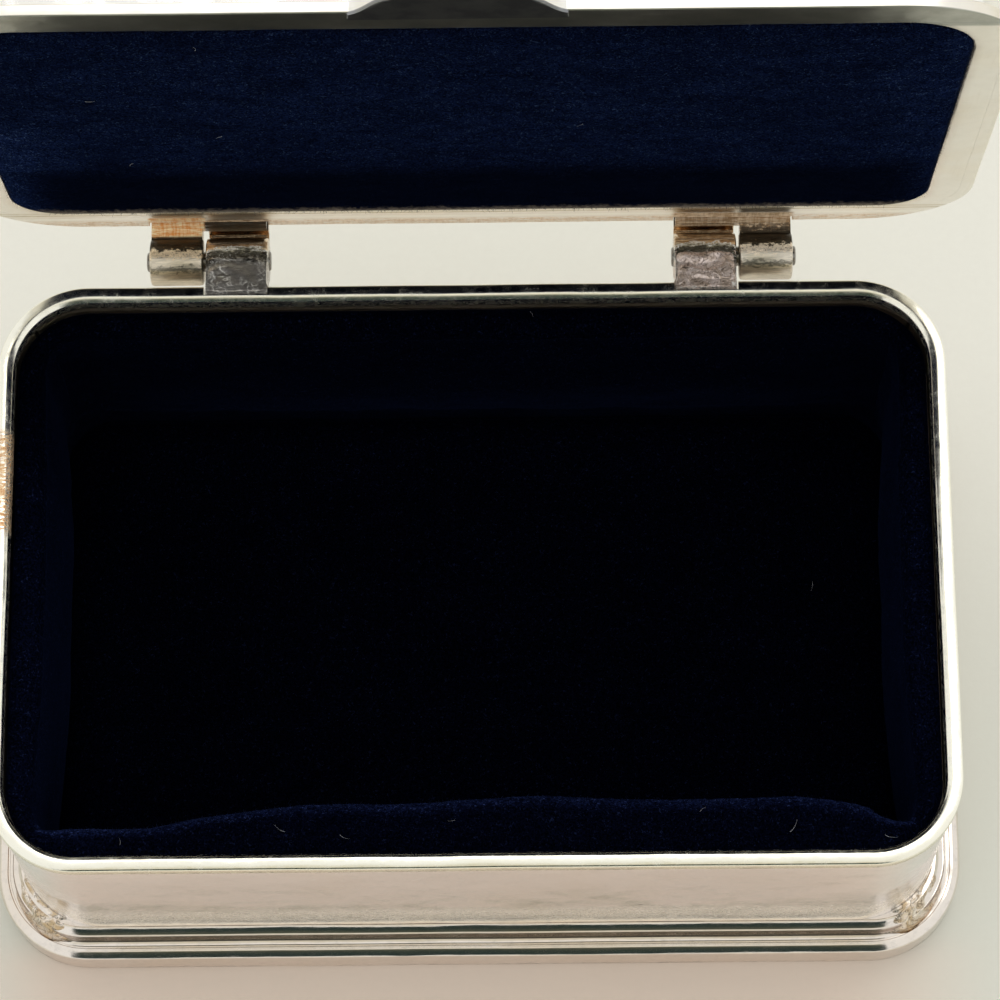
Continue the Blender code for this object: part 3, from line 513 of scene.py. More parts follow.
def velvet(name, deep, mid, pale, sheen, light_and_shade, streak, edge=None, lit=0.0):
    """Dense pile: grain of about 0.15 mm, flecks, brushed patches, and areas of painted light and painted shade.

    Each zone in light_and_shade is (low corner, high corner, edge, factor) in the row frame, in millimetres; edge is a
    height below which the pile fades to pale brown, a painted highlight from the land beside it, and lit is how much
    lighter the crest of the front roll is, a painted sheen.
    """
    g = Graph(name)
    brushed = g.streaks((0.14, 0.30, 0.24), 4.0, 0.62, distortion=0.9)
    cloud = g.noise(0.8, 5.0, 0.75)
    grain = g.noise(4.6, 2.0, 0.8)
    fleck = g.noise(3.6, 1.0, 0.5, 1.5, g.shifted(31.0, 7.0, 3.0))
    darker, lighter = 1.0 - 0.35 * streak, 1.0 + 0.45 * streak
    level = g.range(brushed, 0.34, 0.68, darker, lighter) * g.range(cloud, 0.35, 0.68, darker, lighter)
    # Painted light and shade: boxes where the pile's colour is made lighter or darker.
    for low, high, fade, factor in light_and_shade:
        level = level * (g.box(low, high, fade) * (factor - 1.0) + 1.0)
    if lit:
        lean = g.split(g.put("ShaderNodeNewGeometry", output="Normal"))[1]
        crest = g.range(g.y, -12, -18) * g.range(g.z, 12, 22) * g.range(lean, 0.25, 0.98)
        crest = crest * g.range(g.noise(2.4, 3.0, 0.75), 0.40, 0.62, 0.2, 1.0)
        level = level * (crest * lit + 1.0)
    colour = g.mix(g.range(grain, 0.38, 0.64), deep, mid)
    colour = g.mix(g.range(fleck, 0.62, 0.74), colour, pale)
    colour = g.vector("MULTIPLY", colour, g.put("ShaderNodeCombineXYZ", {0: level, 1: level, 2: level}))
    # Painted highlight: below a height the pile fades to pale brown beside the land.
    if edge:
        thin = g.z + g.range(g.streaks((2.0, 1.0, 1.0), 3.0, 0.7), 0.3, 0.7, -0.45, 0.45)
        colour = g.mix(g.range(thin, edge + 1.3, edge - 1.5), colour, (0.22, 0.185, 0.145))
    return g.set(
        Base_Color=colour,
        Roughness=1.0,
        Specular_IOR_Level=0.0,
        Sheen_Weight=sheen,
        Sheen_Roughness=0.35,
        Sheen_Tint=(0.10, 0.19, 0.62, 1.0),
        Normal=g.bump(grain * 0.7 + cloud * 0.6, 0.6, 0.15),
    )


def thread(name, colour):
    g = Graph(name)
    tone = g.noise(2.0, 3.0, 0.6)
    return g.set(Base_Color=g.mix(tone, dim(colour, 0.5), colour), Roughness=0.8, Specular_IOR_Level=0.1)


def card(name):
    g = Graph(name)
    fibres = g.streaks((2.0, 2.0, 7.0), 4.0, 0.7)
    colour = g.mix(fibres, (0.30, 0.25, 0.19), (0.42, 0.37, 0.29))
    return g.set(Base_Color=colour, Roughness=0.9, Normal=g.bump(fibres, 0.4, 0.05))


COPPER = ((0.80, 0.34, 0.09), (1.0, 0.90, 0.60))
BRONZE = ((0.48, 0.30, 0.15), (0.96, 0.77, 0.55))
SILVER_WALL = silver(
    "silver_wall", (0.93, 0.905, 0.905), 0.17, 0.25, 0.9, 0.4, waves=0.35,
    # Painted light: a lighter, duller band low on the wall.
    bands=[(8.6, 14.0, 1.6, 1.0, (0.94, 0.885, 0.83), 0.3)],
)
SILVER_FOOT = silver(
    "silver_foot", (0.84, 0.78, 0.725), 0.12, 0.4, 0.6, 0.4, waves=0.4, grime=0.25,
    bands=[(4.93, 6.45, 0.06, 0.85, (0.36, 0.27, 0.21), 0.1)],
)
SILVER_RIM = silver(
    "silver_rim", (0.965, 0.95, 0.85), 0.20, 0.25, 0.5, 0.3, waves=0.4,
    copper_and_shade=[((-46, 4, 31), (-43, 14, 34), 0.6, 0.5, (0.62, 0.30, 0.12), (0.95, 0.72, 0.42))],
    # Painted reflection: the bead's outer side tinted yellowish.
    bands=[(31.4, 32.5, 0.12, 0.7, (0.80, 0.75, 0.56), 0.05)],
)
SILVER_LAND = silver(
    "silver_land", (0.92, 0.89, 0.82), 0.29, 0.4, 0.6, 0.5, waves=0.45, pitch=1.6, grit=0.05,
    # Painted dark reflection on the front of the land.
    face=(88.0, (0.40, 0.41, 0.36)),
    copper_and_shade=[
        ((-30.9, 32.5, 29), (-25.4, 38, 34.3), 0.15, 1.0, *COPPER),
        # Painted shade in dark copper colours: the recess above the base's left knuckle.
        ((-25.4, 32.5, 29), (-19.4, 38, 33.6), 0.15, 1.0, (0.10, 0.05, 0.015), (0.30, 0.17, 0.07)),
        ((19.4, 32.5, 29), (30.9, 38, 34.3), 0.3, 0.95, *BRONZE),
        ((-46, 32.5, 29), (46, 38, 33.4), 0.4, 0.45, (0.62, 0.42, 0.24), (0.92, 0.76, 0.58)),
    ],
    bands=[
        # Painted highlight: a pale grey line along the front edge of the land's opening.
        (88.62, 88.95, 0.06, 0.9, (0.5, 0.5, 0.52), 0.35),
        (35.9, 36.4, 0.1, 0.7, (0.74, 0.68, 0.55), 0),
        (35.36, 35.62, 0.07, 0.9, (0.60, 0.52, 0.36), 0),
        (33.9, 34.5, 0.12, 1.0, (1.0, 0.98, 0.90), 0),
        (31.3, 33.0, 0.2, 0.7, (0.80, 0.76, 0.67), 0),
    ],
)
SILVER_THUMB = silver(
    "silver_thumb", (0.98, 0.97, 0.93), 0.29, 0.2, 0.6, 0.5, waves=0.3, pitch=1.6, grit=0.05,
    # Painted dark reflection on the thumbpiece's underside.
    face=(80.0, (0.19, 0.20, 0.22)),
)
SILVER_LID = silver("silver_lid", (0.955, 0.95, 0.92), 0.10, 0.25, 0.5, 0.4)
HINGE_METAL = hinge_silver("hinge_metal", (0.80, 0.76, 0.68), 0.85, 0.7, *BRONZE)
COPPER_HINGE = hinge_silver("worn_copper_hinge", (0.86, 0.77, 0.62), 0.35, 1.0, *COPPER, True)
COPPER_HINGE_RIGHT = hinge_silver("worn_bronze_hinge", (0.88, 0.81, 0.69), 0.35, 0.9, *BRONZE, True, 1.0)
PIN_METAL = silver("pin_metal", (0.24, 0.23, 0.21), 0.25, 0.4, 0.0, 0.6)
SOLDER_FOOT = solder("solder_foot", (0.90, 0.82, 0.74), (0.60, 0.46, 0.30), 0.20, 0.45, 0.8)
SOLDER_HINGE = solder("solder_hinge", (0.97, 0.83, 0.79), (0.62, 0.50, 0.42), 0.22, 1.0, 1.0, 0.4)
# Painted light and shade on the lid's pad: darker at the hinge side and top, lighter at the sides.
LID_LIGHT_AND_SHADE = [
    ((-41, 20, 31), (42, 45, 51), 3.0, 0.16),
    ((-50, 20, 31), (-38, 45, 64), 4.0, 2.2),
    ((39, 20, 44), (50, 45, 88), 4.0, 1.4),
    ((-50, 20, 84), (50, 45, 100), 5.0, 0.8),
]
# Painted light and shade in the base: darker floor and upper back, lighter sides and lower back.
BASE_LIGHT_AND_SHADE = [
    ((-60, -26, -2), (60, 40, 7.5), 1.5, 0.75),
    ((-60, -28, 5), (-34, 10, 40), 2.5, 1.5),
    ((36, -30, 5), (60, 18, 40), 2.5, 1.3),
    ((-32, 18, 5), (30, 40, 17), 3.0, 1.5),
    ((-60, 18, 17), (60, 40, 40), 4.0, 0.7),
]
LID_PILE = ((0.0003, 0.0009, 0.0045), (0.0034, 0.0066, 0.0235), (0.018, 0.030, 0.064))
BASE_PILE = ((0.00025, 0.0004, 0.0012), (0.0009, 0.0015, 0.0062), (0.0045, 0.007, 0.022))
VELVET_LID = velvet("velvet_lid", *LID_PILE, 0.033, LID_LIGHT_AND_SHADE, 0.7, edge=37.3)
VELVET_BASE = velvet("velvet_base", *BASE_PILE, 0.035, BASE_LIGHT_AND_SHADE, 0.35, lit=9.0)
FIBRE = thread("velvet_fibre", (0.011, 0.018, 0.052))
LINT_THREAD = thread("lint", (0.42, 0.42, 0.45))
CARD = card("lining_card")


# Base metalwork

CORNERS = {"front_left": (-1, -1), "front_right": (1, -1), "back_left": (-1, 1), "back_right": (1, 1)}


def wall_path(out):
    return rounded(WALL_HALF, out, WALL_RADIUS + out)


def foot_path(out):
    return rounded(WALL_HALF, out, max(FOOT_RADIUS + out, 1.0))


def make_wall():
    inner = -WALL_THICKNESS
    heights = [WALL_BOTTOM + (WALL_TOP - 1.3 - WALL_BOTTOM) * step / 20 for step in range(21)]
    profile = [(0, h) for h in heights]
    profile += [(-0.02, WALL_TOP - 0.95), (-0.06, WALL_TOP - 0.55), (-0.13, WALL_TOP)]
    profile += [(inner, WALL_TOP)] + [(inner, h) for h in reversed(heights)]
    mesh = sweep("base_wall_polished", wall_path, profile, wobble=0.05)
    piece(mesh, "base", "silver_wall", SILVER_WALL, "base_wall")


def make_rim():
    outer, inner = RIM_PROUD, RIM_PROUD - RIM_BEAD_WIDTH
    low = RIM_HEIGHT - RIM_BEAD_HEIGHT
    foot, edge, round_off = 0.12, 0.24, 0.74
    profile = arc((outer - foot, low + foot), foot, -90, 0, 4)
    profile += arc((outer - edge, RIM_HEIGHT - 0.30), edge, 0, 78, 10)
    profile += [(outer - 0.45, RIM_HEIGHT - 0.02), (outer - 0.62, RIM_HEIGHT)]
    profile += arc((inner + round_off, RIM_HEIGHT - round_off), round_off, 88, 180, 22)
    profile += arc((inner + foot, low + foot), foot, 180, 270, 4)
    mesh = sweep("rim_bead_polished", wall_path, profile, wobble=0.05)
    rim = piece(mesh, "base", "silver_rim", SILVER_RIM, "rim_bead")
    for low_x, high_x in both_sides(HINGE_X - 0.05, HINGE_X + KNUCKLE_LENGTH + 0.05):
        subtract(rim, cut((low_x, 27.6, 30), (high_x, 31, 35)))
    sharpen(rim, 50)


def make_foot():
    out, inner, shelf = FOOT_OVERHANG, -2.6, 4.85
    step = run((0.0, 7.45), (88, 86, 0.10), (85, 52, 0.16), (52, 46, 0.30), (46, 28, 0.50), (28, 3, 0.12), (2, 0, 0.06))
    brow = run((1.84, shelf - 0.02), (0, 26, 0.18), (26, 34, 0.14), (34, 50, 0.60), (50, 88, 0.26))
    groove = [(1.66, -0.01), (1.60, -0.08), (1.58, -0.2), (1.44, -0.2), (1.42, -0.04), (1.38, 0)]
    cove = [(1.2, 0.02), (1.04, 0.06), (0.99, 0.16)]
    profile = [(inner, 0.0), (out - 0.2, 0.0), *arc((out - 0.2, 0.2), 0.2, -90, 0, 4), (out, 1.4), (out, 2.8)]
    profile += [(min(x, out), z) for x, z in reversed(brow)]
    profile += [(x, shelf + rise) for x, rise in groove + cove]
    profile += [(0.985, 5.4), (0.98, 6.1), (step[-1][0], step[-1][1] - 0.1), *reversed(step), (inner, step[0][1])]
    mesh = sweep("foot_moulding_polished", foot_path, profile, wobble=0.05)
    for vert in mesh.vertices:
        vert.co.z = max(vert.co.z, 0.0)
    foot = piece(mesh, "base", "silver_foot", SILVER_FOOT, "foot_moulding")
    core = sweep("core", wall_path, [(0.012, -5), (0.012, 12)], closed_rows=False, wobble=0.05)
    subtract(foot, placed("core", core))
    sharpen(foot, 32)


def corner_point(x_side, y_side, out, bend, turn):
    """A point round one corner; turn goes from 0 to 1 through the bend."""
    angle = math.radians(90) * turn
    x = x_side * (WALL_HALF[0] - bend + (bend + out) * math.sin(angle))
    y = y_side * (WALL_HALF[1] - bend + (bend + out) * math.cos(angle))
    return x, y


def make_corner_solder():
    """The lumpy solder that fills the moulding's hollow round each corner."""
    first, last, bottom = 0.04, 0.98, 4.3
    for label, (x_side, y_side) in CORNERS.items():
        sections = []
        for step in range(91):
            turn = first + (last - first) * step / 90
            end = smooth(min((turn - first) / 0.30, (last - turn) / 0.25, 1.0))
            near = corner_point(x_side, y_side, 0.03, WALL_RADIUS, turn)
            far = corner_point(x_side, y_side, 1.6 - 0.9 * max(turn - 0.35, 0), FOOT_RADIUS, turn)
            section = []
            for number in range(25):
                share = number / 24
                spot = Vector((turn * 3.4, share * 1.9, x_side + 3 * y_side))
                lump = 0.8 * noise.noise(spot * 0.6) + 0.45 * noise.noise(spot * 1.5) + 0.12 * noise.noise(spot * 4.0)
                height = 4.72 + 3.0 * (1 - share**2.3) + lump * min(1, share * 6) * min(1, (1 - share) * 3)
                section.append((*between(near, far, share), max(height - (1 - end) * 2.6, 4.4)))
            sections.append([*section, (*far, bottom), (*near, bottom)])
        mesh = mesh_from(f"foot_solder_{label}", list(zip(*sections)), closed_columns=False, sharp=60)
        piece(mesh, "base", "silver_foot", SOLDER_FOOT, "foot_moulding")


# Lid metalwork


def lid_path(out):
    return rounded(LID_HALF, out, LID_RADIUS + out)


def land_path(inset, **options):
    """The opening in the land, which the lid's pad fills."""
    corners = (max(4.8 - inset, 1.9), max(6.5 - inset, 2.6))
    outline = rounded(LAND_HALF, -inset, *corners, **options)
    return [(x, y - LAND_SHIFT) for x, y in outline]


def make_lid_bead():
    low, edge, top_edge = LAND_LEVEL, 0.12, 0.225
    profile = [(LID_BEAD_INNER, LID_BEAD_TOP), (LID_BEAD_INNER, low), (-edge - 0.12, low)]
    profile += arc((-edge, low + edge), edge, 270, 360, 12)
    profile += arc((-top_edge, LID_BEAD_TOP - top_edge), top_edge, 0, 90, 6)
    mesh = sweep("lid_bead_polished", lid_path, profile, place=LID_FRAME, wobble=0.04)
    bead = piece(mesh, "lid", "silver_land", SILVER_LAND, "lid_bead")
    for low_x, high_x in both_sides(HINGE_X - 0.02, LID_KNUCKLE_END + 0.02):
        subtract(bead, cut((low_x, -2.7, 1.5), (high_x, 0.2, 6), HINGE_FRAME))
    front = LID_CENTRE_Y - LID_HALF[1]
    subtract(bead, cut((-8.42, front - 2, 1.5), (8.42, front + 2.6, 6), HINGE_FRAME))
    sharpen(bead, 32)


def make_lid_frame():
    outline, opening = lid_path(LID_BEAD_INNER - 0.01), land_path(-0.25)
    rows = [[(x, y, LAND_LEVEL + rise) for x, y in outline] for rise in (0.9, 0.1, 0)]
    for share in (0.35, 0.7):
        rows.append([(*between(a, b, share), LAND_LEVEL) for a, b in zip(outline, opening)])
    for inset, rise in ((-0.25, 0), (-0.12, 0.03), (-0.03, 0.10), (0, 0.2), (0, 0.5), (0, 0.9)):
        rows.append([(x, y, LAND_LEVEL + rise) for x, y in land_path(inset)])
    mesh = mesh_from("lid_land_polished", rows, place=LID_FRAME, wobble=0.04, sharp=40)
    piece(mesh, "lid", "silver_land", SILVER_LAND, "lid_frame")


def dome_path(inset):
    share = inset / LID_HALF[1]
    bend = (1 - share) * (LID_RADIUS + (LID_HALF[1] - LID_RADIUS) * (2 * share * share - share))
    return rounded(LID_HALF, -inset, bend)


def make_lid_shell():
    """The crown: a skin from the side over the shoulder to the top, thickened inwards."""
    inset, shoulder = 0.9, 2.2
    rings = [(inset, LID_SIDE_BOTTOM), (inset, LID_SIDE_BOTTOM + 0.9)]
    rings += arc((inset + shoulder, LID_SIDE_BOTTOM + 1.8), shoulder, 180, 105, 14)
    last, height = rings[-1]
    for step in range(1, 30):
        share = (step / 30) ** 1.25
        rings.append((last + share * (LID_HALF[1] - last), height + 2.6 * (1 - (1 - share) ** 2.2)))
    mesh = sweep("lid_shell_polished", dome_path, rings, closed_rows=False, caps=(-1,), place=LID_FRAME, wobble=0.06)
    shell = piece(mesh, "lid", "silver_lid", SILVER_LID, "lid_shell")
    top = max(mesh.polygons, key=lambda face: face.area)
    sheet = shell.modifiers.new("sheet", "SOLIDIFY")
    sheet.thickness, sheet.use_even_offset = 0.8 * MM, True
    sheet.offset = -1 if top.normal.y > 0 else 1
    apply_modifiers(shell)
    shell.data.shade_smooth()
    sharpen(shell, 50)


def make_small_metal():
    coppers = (("left", COPPER_HINGE), ("right", COPPER_HINGE_RIGHT))
    for (label, copper_and_shade), (low_x, high_x) in zip(coppers, both_sides(LID_KNUCKLE_X, LID_KNUCKLE_END)):
        for kind, slot, material, body in (
            ("body_knuckle", "hinge_metal", HINGE_METAL, "base"),
            ("hinge_pin", "pin_metal", PIN_METAL, "base"),
            ("lid_hinge", "worn_copper_hinge", copper_and_shade, "lid"),
        ):
            node = f"{kind}_{label}"
            piece(refined(node), body, slot, material, node)
        near_y, far_y = -2.66, -1.38
        rows = []
        for inset, level in ((0.1, 3.08), (0.02, 3.12), (0, 3.2), (0, 4.25)):
            low, high = low_x + inset, high_x - inset
            ring = [(low, near_y), (high, near_y), (high, far_y), (low, far_y)]
            edges = zip(ring, ring[1:] + ring[:1])
            rows.append([(*between(a, b, step / 12), level) for a, b in edges for step in range(12)])
        mesh = mesh_from(f"lid_hinge_{label}_plate", rows, closed_rows=False, place=LID_FRAME, sharp=40)
        piece(mesh, "lid", "worn_copper_hinge", copper_and_shade, f"lid_hinge_{label}")


def make_knuckle_solder():
    """The solder on the flat in front of each barrel, thin and scarred on the left and lumpy on the right."""
    for label, side, rise, ripple, material in (
        ("left", -1, 0.10, 0.05, HINGE_METAL),
        ("right", 1, 0.26, 0.20, SOLDER_HINGE),
    ):
        sections = []
        for step in range(57):
            v = step / 56
            y = 27.95 + 3.95 * v
            plane = SOLDER_TOP - 0.55 * (y - 27.75) / 4.74
            flare = 0.9 * max(0.0, 1 - v / 0.3) ** 2
            inside, outside = HINGE_X + 0.12 - flare, HINGE_X + KNUCKLE_LENGTH - 0.12
            section = []
            for number in range(57):
                u = number / 56
                x = side * (inside + (outside - inside) * u)
                rim = min(1, 7 * u, 7 * (1 - u)) * min(1, 9 * (1 - v), 14 * v)
                rim = rim * (2 - rim)
                spot = Vector((x, y, 0))
                warp = 1.6 * noise.noise_vector(spot * 0.32)
                bend = math.hypot(x - side * 23.6 + warp.x, (y - 27.6) * 1.2 + warp.y)
                height = rise * (0.65 + 0.7 * noise.noise(spot * 0.5 + Vector((2, 8, 1))))
                height += ripple * math.sin(2.7 * bend) + 0.02 * noise.noise(spot * 3)
                height = plane - 0.08 + rim * (0.08 + max(0.02, height))
                section.append((x, y, min(height, SOLDER_TOP)))
            sections.append([*section, (section[-1][0], y, 31.8), (section[0][0], y, 31.8)])
        mesh = mesh_from(f"hinge_solder_{label}", list(zip(*sections)), closed_columns=False, sharp=60)
        piece(mesh, "base", "hinge_metal", material, f"body_knuckle_{label}")


def make_thumbpiece():
    """A thin plate let into the rolled edge, with ogee sides and a straight tip."""
    half_root, half_tip, reach, root = 9.1, 4.2, 4.2, -1.24
    side = [(half_root, root), (half_root, -0.5), (half_root - 0.02, -0.1)]
    side += [(8.8, 0.08), (8.5, 0.3), (8.2, 0.62), (7.9, 1.0), (7.55, 1.5), (7.2, 2.05), (6.85, 2.55)]
    side += [(6.5, 3.0), (6.1, 3.4), (5.7, 3.72), (5.3, 3.95), (4.8, 4.1), (half_tip, 4.17)]
    for step in range(1, 9):
        side.append((half_tip * (1 - step / 8), reach - 0.03 + 0.03 * math.sin(math.pi * step / 16)))
    outline = side + [(-x, forward) for x, forward in reversed(side[:-1])]
    outline += [(-half_root + 2 * half_root * step / 20, root) for step in range(1, 20)]
    centre = (0, 1.2)
    rows = []
    for shrink, rise in ((0.16, 1.1), (0.04, 1.06), (0, 0.95), (0, -0.02), (0.04, -0.13), (0.12, -0.19), (0.7, -0.20)):
        row = []
        for point in outline:
            pull = 0 if point[1] <= root + 0.01 else shrink / math.dist(point, centre)
            x, forward = between(point, centre, pull)
            row.append((x, -LID_HALF[1] - forward, LAND_LEVEL + rise))
        rows.append(row)
    mesh = mesh_from("thumbpiece_polished", rows, closed_rows=False, place=LID_FRAME, sharp=40, wobble=0.03)
    piece(mesh, "lid", "silver_land", SILVER_THUMB, "thumbpiece")


# Velvet

VELVET_LOW, VELVET_TOP = 1.2, 30.7
ROLL_LOW = 6.2
FINE = (60, 36)
# Each side's turn in degrees, the axes of its length and its distance, and how far it swells in millimetres
SIDES = {"back": (0, 0, 1, 1.0), "left": (90, 1, 0, 1.3), "front": (180, 0, 1, 4.0), "right": (270, 1, 0, 1.3)}


def through(points, steps):
    """A smooth line through the given points."""
    knots = [Vector(point) for point in (points[0], *points, points[-1])]
    found = []
    for p0, p1, p2, p3 in zip(knots, knots[1:], knots[2:], knots[3:]):
        for step in range(steps):
            t = step / steps
            spot = 0.5 * (
                2 * p1 + (p2 - p0) * t + (2 * p0 - 5 * p1 + 4 * p2 - p3) * t * t + (3 * p1 - p0 - 3 * p2 + p3) * t**3
            )
            found.append(tuple(spot))
    found.append(tuple(points[-1]))
    return found


def stations(side, steps):
    """Places along a side's wall, mitre to mitre: x, y, outward x and y, way from the middle and its share."""
    turn, long_axis, far_axis, _ = SIDES[side]
    bend = WALL_RADIUS - WALL_THICKNESS
    straight, centre_out = WALL_HALF[long_axis] - WALL_RADIUS, WALL_HALF[far_axis] - WALL_RADIUS
    widest, corner = math.radians(45 - 0.25), 16
    total = straight + bend * widest
    local = [(-straight, widest * (step / corner - 1)) for step in range(corner)]
    local += [(-straight + 2 * straight * step / steps, 0) for step in range(steps + 1)]
    local += [(straight, widest * step / corner) for step in range(1, corner + 1)]
    turned = Matrix.Rotation(math.radians(turn), 2)
    found = []
    for along, bent in local:
        outward = turned @ Vector((math.sin(bent), math.cos(bent)))
        spot = turned @ Vector((along, centre_out)) + bend * outward
        way = along + bend * bent
        found.append((spot.x, spot.y, outward.x, outward.y, way, abs(way) / total))
    return found


def soft_shift(spot, size, fine):
    """Slack and pile clumps of the velvet, as a shift in millimetres."""
    spot = Vector(spot)
    shift = size * noise.noise(spot * 0.16) + 0.4 * size * noise.noise(spot * 0.45 + Vector((9, 2, 5)))
    return shift + fine * noise.noise(spot * 1.7)


def make_lining(side):
    swell, tall = SIDES[side][3], VELVET_TOP - ROLL_LOW
    rows = []
    for x, y, out_x, out_y, way, share in stations(side, 120 if side in ("front", "back") else 80):
        fullness, fold, wave = 1 - share**3, 0.0, 0.0
        if side == "front":
            fullness = 1 - share**8
            wave = 0.22 * math.sin(2 * math.pi * 3.5 * x / 90)
            if x < 0:
                fullness = 1 - min(1, abs(way) / 37.5) ** 2.4
                fullness = max(fullness, 0.42 * (1 - max(0, (abs(way) - 33) / 9.25) ** 3))
                fold = smooth(max(0.0, 1 - abs(abs(way) - 35) / 9))
        roll = 2.2 + (swell + wave) * fullness
        belly = roll + 0.8 * fullness
        foot = min(2.2, roll)
        top = [(0.45, -0.55), (0.62, -0.22), (roll * 0.5, 0), (roll * 0.8, -0.45)]
        top += [(roll * 0.97, -0.06 * tall), (roll, -0.11 * tall)]
        low = [(belly + 1.2 * fold, 0.60), (belly + 2.6 * fold, 0.35), ((belly + foot) / 2 + fold, 0.12), (foot, 0)]
        front = [(w, VELVET_TOP + drop) for w, drop in top] + [(w, ROLL_LOW + rise * tall) for w, rise in low]
        section = through([*front, (foot - 0.05, VELVET_LOW + 0.3)], 8)
        section += [(foot - 0.3, VELVET_LOW), (1.3, VELVET_LOW), (1.2, VELVET_LOW + 0.2), (1.2, 29.2), (0.45, 29.4)]
        for number, (w, z) in enumerate(section):
            ease = min(1.0, max(0.0, w - 0.6)) * min(1.0, (z - VELVET_LOW) / 4)
            w += ease * soft_shift((x, y, z), 0.22, 0.05)
            section[number] = (x - out_x * w, y - out_y * w, z)
        rows.append(section)
    mesh = mesh_from(f"{side}_velvet_pile", list(zip(*rows)), closed_columns=False, sharp=70)
    made = piece(mesh, "base", "navy_velvet", VELVET_BASE, f"{side}_velvet")
    return made


def cushion(node, path, ends, crown, place, material, body):
    """A pad from its back to its edge and over the crown; ends are (inset, height)."""
    rings = through(ends, 5)
    last, height = rings[-1]
    across = [y for _, y in path(0)]
    deepest = (max(across) - min(across)) / 2 - 0.03
    for step in range(1, 31):
        share = step / 30
        rings.append((last + (deepest - last) * share, height + crown * math.sin(share * math.pi / 2)))
    rows = []
    for inset, height in rings:
        ease = min(1.0, max(0.0, (inset - 0.3) / 2.5))
        rows.append([(x, y, height + ease * soft_shift((x, y, ends[0][1]), 0.12, 0.04)) for x, y in path(inset)])
    mesh = mesh_from(f"{node}_pile", rows, closed_rows=False, place=place, sharp=80)
    made = piece(mesh, body, "navy_velvet", material, node)
    return made


def floor_path(inset):
    shrink = WALL_THICKNESS + 2.2 + 0.06 + inset
    return rounded(WALL_HALF, -shrink, max(WALL_RADIUS - shrink, 1.9), straight=FINE)


def pad_path(inset):
    return land_path(inset, straight=FINE)


def make_velvet():
    linings = {side: make_lining(side) for side in SIDES}
    ends = [(0.5, 2.5), (0.05, 2.75), (0.0, 3.3), (0.25, 3.9), (0.9, 4.5), (2.2, 4.95), (4.6, 5.25), (8.0, 5.45)]
    floor = cushion("floor_velvet", floor_path, ends, 0.1, None, VELVET_BASE, "base")
    ends = [(0.5, 4.4), (0.12, 4.3), (0.05, 4.0), (0.05, 3.45), (0.12, 3.24), (0.4, 3.1), (1.3, 2.99), (3.6, 2.88)]
    lid = cushion("lid_velvet", pad_path, [*ends, (8.0, 2.8)], -0.08, LID_FRAME, VELVET_LID, "lid")
    return linings, floor, lid


def fibre(built, start, direction, bend, length, radius, steps):
    """One thin, curved, tapering hair; all sizes in millimetres."""
    side = direction.cross(Vector((0.3, 0.8, 0.5))).normalized()
    other = direction.cross(side).normalized()
    angles = [2 * math.pi * number / 3 for number in range(3)]
    spokes = [math.cos(angle) * side + math.sin(angle) * other for angle in angles]
    rings = []
    for step in range(steps + 1):
        share = step / steps
        middle = start + direction * length * share + bend * length * share * share
        width = radius * (1 - 0.7 * share)
        rings.append([built.verts.new((middle + width * spoke) * MM) for spoke in spokes])
    for first, second in zip(rings, rings[1:]):
        for number in range(3):
            after = (number + 1) % 3
            built.faces.new((first[number], first[after], second[after], second[number]))
    built.faces.new(rings[0])
    built.faces.new(rings[-1])


def random_way():
    while True:
        way = Vector([random.uniform(-1, 1) for _ in range(3)])
        if 0.05 < way.length < 1:
            return way.normalized()


def fuzz(name, source, chosen, per_mm, length, radius, body):
    """Stray pile on a velvet piece; chosen(centre, normal), in millimetres, gives how much of it a face has."""
    built = bmesh.new()
    for face in source.data.polygons:
        corners = [source.data.vertices[v].co / MM for v in face.vertices]
        normal, share = face.normal, chosen(face.center / MM, face.normal)
        if len(corners) > 4 or share <= 0:
            continue
        wanted = face.area / MM**2 * per_mm * share
        for _ in range(int(wanted) + (random.random() < wanted % 1)):
            a, b = random.random(), random.random()
            start = corners[0].lerp(corners[1], a).lerp(corners[-1].lerp(corners[-2], a), b)
            way = (normal + 0.9 * random_way()).normalized()
            fibre(built, start - normal * 0.03, way, 0.5 * random_way(), length * random.uniform(0.5, 1.4), radius, 2)
    piece(finished(built, name), body, "navy_velvet", FIBRE)


def make_fuzz(linings, lid):
    def roll(centre, normal):
        edge = 1 - min(1, abs(normal.z * 0.95 - normal.y * 0.31 - 0.12) / 0.22)
        return edge if centre.z > 20 else 0

    def lid_edge(centre, normal):
        inside = LID_FRAME.inverted() @ centre
        side = min(LAND_HALF[0] - abs(inside.x), LAND_HALF[1] - abs(inside.y + LAND_SHIFT))
        return 1.0 if side < 0.45 and inside.z < 3.5 else 0.0

    fuzz("front_velvet_fuzz", linings["front"], roll, 16, 0.22, 0.016, "base")
    fuzz("lid_velvet_fuzz", lid, lid_edge, 22, 0.26, 0.018, "lid")


